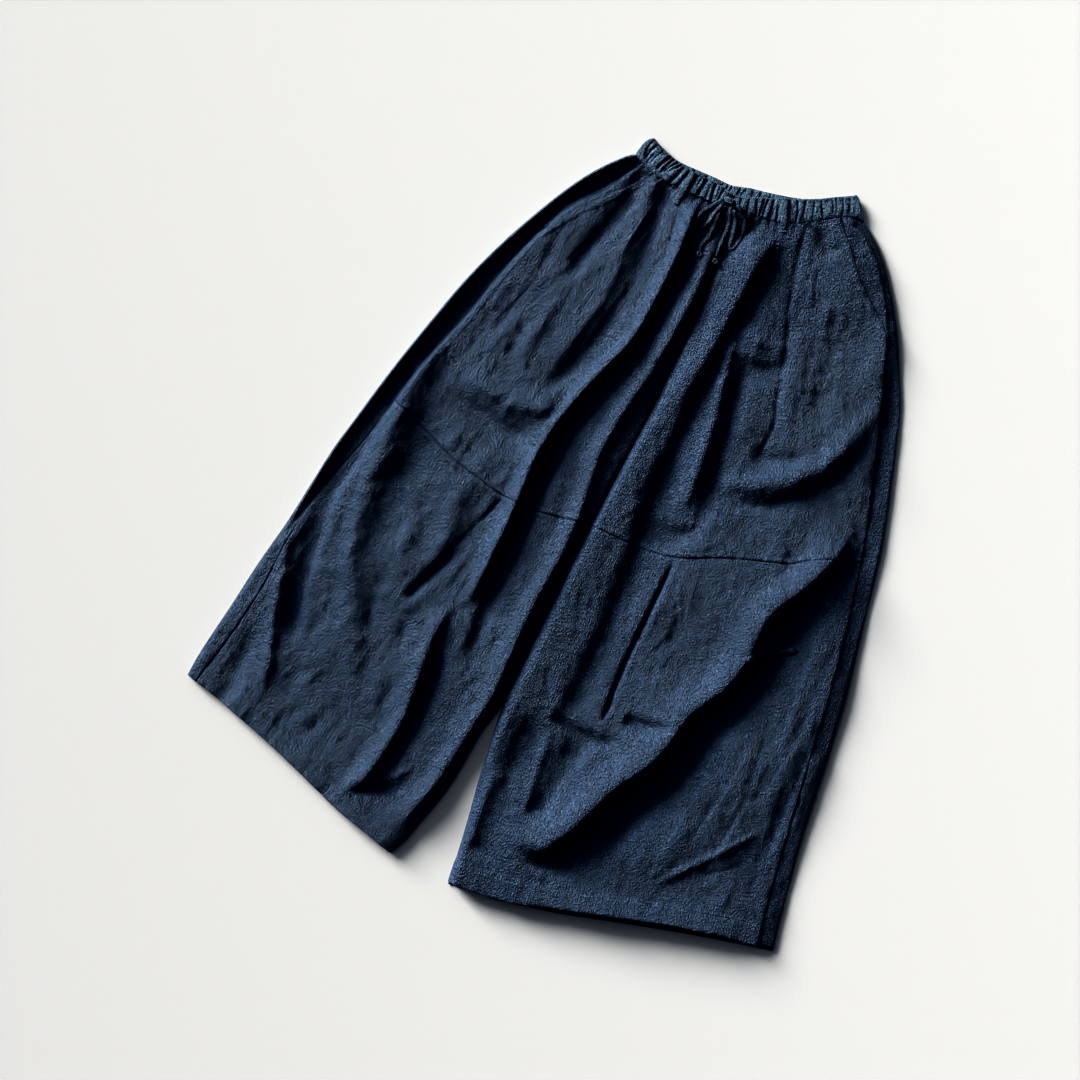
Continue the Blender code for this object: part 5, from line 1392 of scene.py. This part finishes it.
def tube(name, path, half_width, half_height, material, stands_for, turns=0.0):
    """A closed tape along points in millimetres, flatter than wide, with rolled edges."""
    path = np.asarray(path, float)
    way = unit(np.gradient(path, axis=0))
    sideways = unit(np.cross(way, (0.0, 0.0, 1.0)))
    upward = np.cross(sideways, way)
    around = np.linspace(0, 2 * np.pi, 19)[:-1]
    run = np.concatenate([[0], np.cumsum(np.linalg.norm(np.diff(path, axis=0), axis=1))])
    twist = turns * run / run[-1] + 0.25 * np.sin(run / 9.0)
    rows = []
    for k, centre in enumerate(path):
        from_end = min(run[k], run[-1] - run[k])
        round_end = math.sqrt(max(0.05, 1 - (1 - min(1, from_end / 1.2)) ** 2))
        dent = 1 - 0.16 * np.exp(-((np.sin(around) - 1) / 0.35) ** 2)
        wide = half_width * np.cos(around) * round_end
        high = half_height * np.sin(around) * dent * round_end
        turn = twist[k]
        a = wide * math.cos(turn) - high * math.sin(turn)
        b = wide * math.sin(turn) + high * math.cos(turn)
        rows.append(centre + a[:, None] * sideways[k] + b[:, None] * upward[k])
    grid = np.stack(rows)
    count, sides = grid.shape[:2]
    index = np.arange(count * sides).reshape(count, sides)
    beside_it = np.roll(index, -1, axis=1)
    walls = np.stack([index[:-1], beside_it[:-1], beside_it[1:], index[1:]], axis=-1).reshape(-1, 4)
    uv = np.stack([np.broadcast_to(around * half_width, (count, sides)),
                   np.broadcast_to(run[:, None], (count, sides))], axis=-1).reshape(-1, 2) * MM
    caps = [index[0][::-1].tolist(), index[-1].tolist()]
    return add_mesh(name, grid.reshape(-1, 3), walls.tolist() + caps, material,
                    stands_for, uv)


def tie_route(name):
    """Points in millimetres along one run of the tie, lying on what is under it."""
    line = smooth_line(TIE_RUNS[name])
    radius = TIE_WIDTH / 2
    count = int(line_length(line) / 1.6)
    plan = stations(line, np.linspace(0, 1, count + 1))
    lie = smoothed(support_under(plan[:, 0], plan[:, 1], 1.2), 12) + radius * 0.75
    from_knot = np.linalg.norm(plan - np.array(KNOT_CENTRE), axis=1)
    start = KNOT_GROUND + 0.3 + (LOOP_START_RISE if "loop" in name else END_START_RISE)
    held = ease((26 - from_knot) / 14)
    height = np.maximum(lie, start * held + lie * (1 - held))
    return np.column_stack([plan, height])


KNOT_GROUND = float(support_under(*KNOT_CENTRE, KNOT_LENGTH / 3))
for run_name in TIE_RUNS:
    route = tie_route(run_name)
    is_loop = "loop" in run_name
    strand = tube(run_name + "_tape", route, TIE_WIDTH / 2 + 0.15, TIE_WIDTH / 2 - 0.75, TIE_LINEN,
                  [run_name], 0.5 if is_loop else 0.3)
    pieces = []
    if not is_loop:
        tip = route[-1]
        angle = np.linspace(0, 2 * np.pi * 1.15, 40)
        ring = np.column_stack([tip[0] + 2.6 * np.sin(angle), tip[1] - 0.6 - 1.9 * np.cos(angle),
                                tip[2] + 1.0 + 0.9 * np.sin(angle / 1.15 / 2)])
        pieces = [tube(run_name + "_tip", ring, 1.9, 1.5, TIE_LINEN, [])]

angle = np.linspace(0, 2 * np.pi * 1.6, 90)
wrap = np.column_stack([
    KNOT_CENTRE[0] + 5.6 * np.cos(angle) * (1 - 0.10 * angle / 10),
    KNOT_CENTRE[1] + 0.5 * angle - 2.5,
    KNOT_GROUND + 4.0 + 2.3 * np.sin(angle),
])
tube("tie_knot_wrap", wrap, 2.3, 1.7, TIE_LINEN, ["tie_knot"])


# The topstitching. Tone on tone linen thread: one row above each knee seam, beside each side
# seam and pocket mouth, and along each hem, with a bar tack at each pocket's foot.
STITCH_STEP = 3.1
STITCH_LENGTH = 2.3
THREAD = 0.30
thread = bpy.data.materials.new("topstitch_thread")
thread.use_nodes = True
thread_shader = thread.node_tree.nodes["Principled BSDF"]
thread_shader.inputs["Base Color"].default_value = (0.040, 0.058, 0.084, 1)
thread_shader.inputs["Roughness"].default_value = 0.6
thread_grain = thread.node_tree.nodes.new("ShaderNodeTexNoise")
thread_grain.inputs["Scale"].default_value = 1800
thread_place = thread.node_tree.nodes.new("ShaderNodeTexCoord")
thread_bump = thread.node_tree.nodes.new("ShaderNodeBump")
thread_bump.inputs["Distance"].default_value = 0.0002
thread.node_tree.links.new(thread_place.outputs["Object"], thread_grain.inputs["Vector"])
thread.node_tree.links.new(thread_grain.outputs["Fac"], thread_bump.inputs["Height"])
thread.node_tree.links.new(thread_bump.outputs["Normal"], thread_shader.inputs["Normal"])


STITCH_LIFT = 0.12
SIDE_STITCH = 7.5
TACK_WIDTH = 1.8
TACK_STEP = 0.6
TACK_LIFT = 0.15
POCKET_TACKS = {"right": ((-209, -174), (-199, -178)), "left": ((201, -121), (221, -109))}
THREAD_SIDES = 6
# Rings along a stitch: share of its length, share of the thread's size, height
STITCH_RINGS = ((0.0, 0.3, -0.25), (0.16, 0.95, 0.05), (0.84, 0.95, 0.05), (1.0, 0.3, -0.25))


def stitched_rows(name, rows):
    """One mesh of stitches: rows of (start, end) points in millimetres on the cloth."""
    points, faces = [], []
    around = np.linspace(0, 2 * np.pi, THREAD_SIDES + 1)[:-1]
    for start, end in (pair for starts, ends in rows for pair in zip(starts, ends)):
        way = unit(end - start)
        sideways = unit(np.cross(way, (0.0, 0.0, 1.0)))
        upward = np.cross(sideways, way)
        circle = THREAD * (np.cos(around)[:, None] * sideways + np.sin(around)[:, None] * upward)
        base = len(points)
        for share, size, height in STITCH_RINGS:
            points.extend(start + (end - start) * share + circle * size + (0, 0, height))
        last = len(points) - THREAD_SIDES
        for ring in range(base, last, THREAD_SIDES):
            for k in range(THREAD_SIDES):
                a, b = ring + k, ring + (k + 1) % THREAD_SIDES
                faces.append((a, b, b + THREAD_SIDES, a + THREAD_SIDES))
        faces.append(tuple(range(base + THREAD_SIDES - 1, base - 1, -1)))
        faces.append(tuple(range(last, last + THREAD_SIDES)))
    return add_mesh(name, np.array(points), faces, thread)


def beside_line(line, offset):
    """A line moved sideways, to its left hand when the offset is positive."""
    way = unit(np.gradient(line, axis=0))
    return line + np.column_stack([-way[:, 1], way[:, 0]]) * offset


def row_on(line, surface):
    """Starts and ends of the stitches along a plan line on a surface."""
    count = int(line_length(line) / STITCH_STEP)
    share = (np.arange(count) + 0.5) / count
    half = STITCH_LENGTH / 2 / line_length(line)
    ends = []
    for shift in (-half, half):
        place = stations(line, share + shift)
        ends.append(np.column_stack([place, surface(place[:, 0], place[:, 1]) + STITCH_LIFT]))
    return ends


def hem_row(line, surface, side):
    """The row along a hem, carried with it where the hem is drawn back."""
    ends = row_on(line, surface)
    for points in ends:
        drawn_back, stood_up = hem_raise(points[:, 0], points[:, 1], side)
        points[:, 1] += drawn_back
        points[:, 2] += stood_up
    return ends


def bar_tack(start, end, surface):
    """Close cross stitches from one plan point to another."""
    start, end = np.array(start, float), np.array(end, float)
    count = int(np.hypot(*(end - start)) / TACK_STEP)
    centre = start + (np.arange(count) + 0.5)[:, None] / count * (end - start)
    reach = unit(np.array([start[1] - end[1], end[0] - start[0]])) * TACK_WIDTH / 2
    return [np.column_stack([place, surface(place[:, 0], place[:, 1]) + TACK_LIFT])
            for place in (centre - reach, centre + reach)]


def leg_stitches(side):
    """All the rows of one leg, and the bar tack of its pocket."""
    lines, outward = side["lines"], side["outward"]
    knee_y = side["knee_seam"][0][1]

    def upper(x, y):
        return front_rise(x, y, side, "upper")

    def lower(x, y):
        return front_rise(x, y, side, "lower")

    knee = beside_line(lines["knee_seam"], KNEE_STITCH * outward)
    mouth = beside_line(lines["pocket_mouth"], -POCKET_STITCH * outward)
    seam = clip_line(lines["side_seam"], top=side["pocket_end_y"] - 6, foot=knee_y + 4)
    seam_low = clip_line(lines["side_seam"], top=knee_y - 4)
    hem_x, hem_y = hem_order(side)
    hem = np.column_stack([hem_x, hem_y + (HEM_DEPTH - HEM_ROW_INSET) / HEM_SLANT])[3:-3]
    return [
        row_on(knee[4:-4], upper), row_on(mouth[4:-4], upper),
        row_on(beside_line(seam, -SIDE_STITCH * outward), upper),
        row_on(beside_line(seam_low, -SIDE_STITCH * outward), lower),
        hem_row(hem, lower, side),
        bar_tack(*POCKET_TACKS[side["name"]], upper),
    ]


for leg in (RIGHT, LEFT):
    stitched_rows("topstitch_" + leg["name"], leg_stitches(leg))
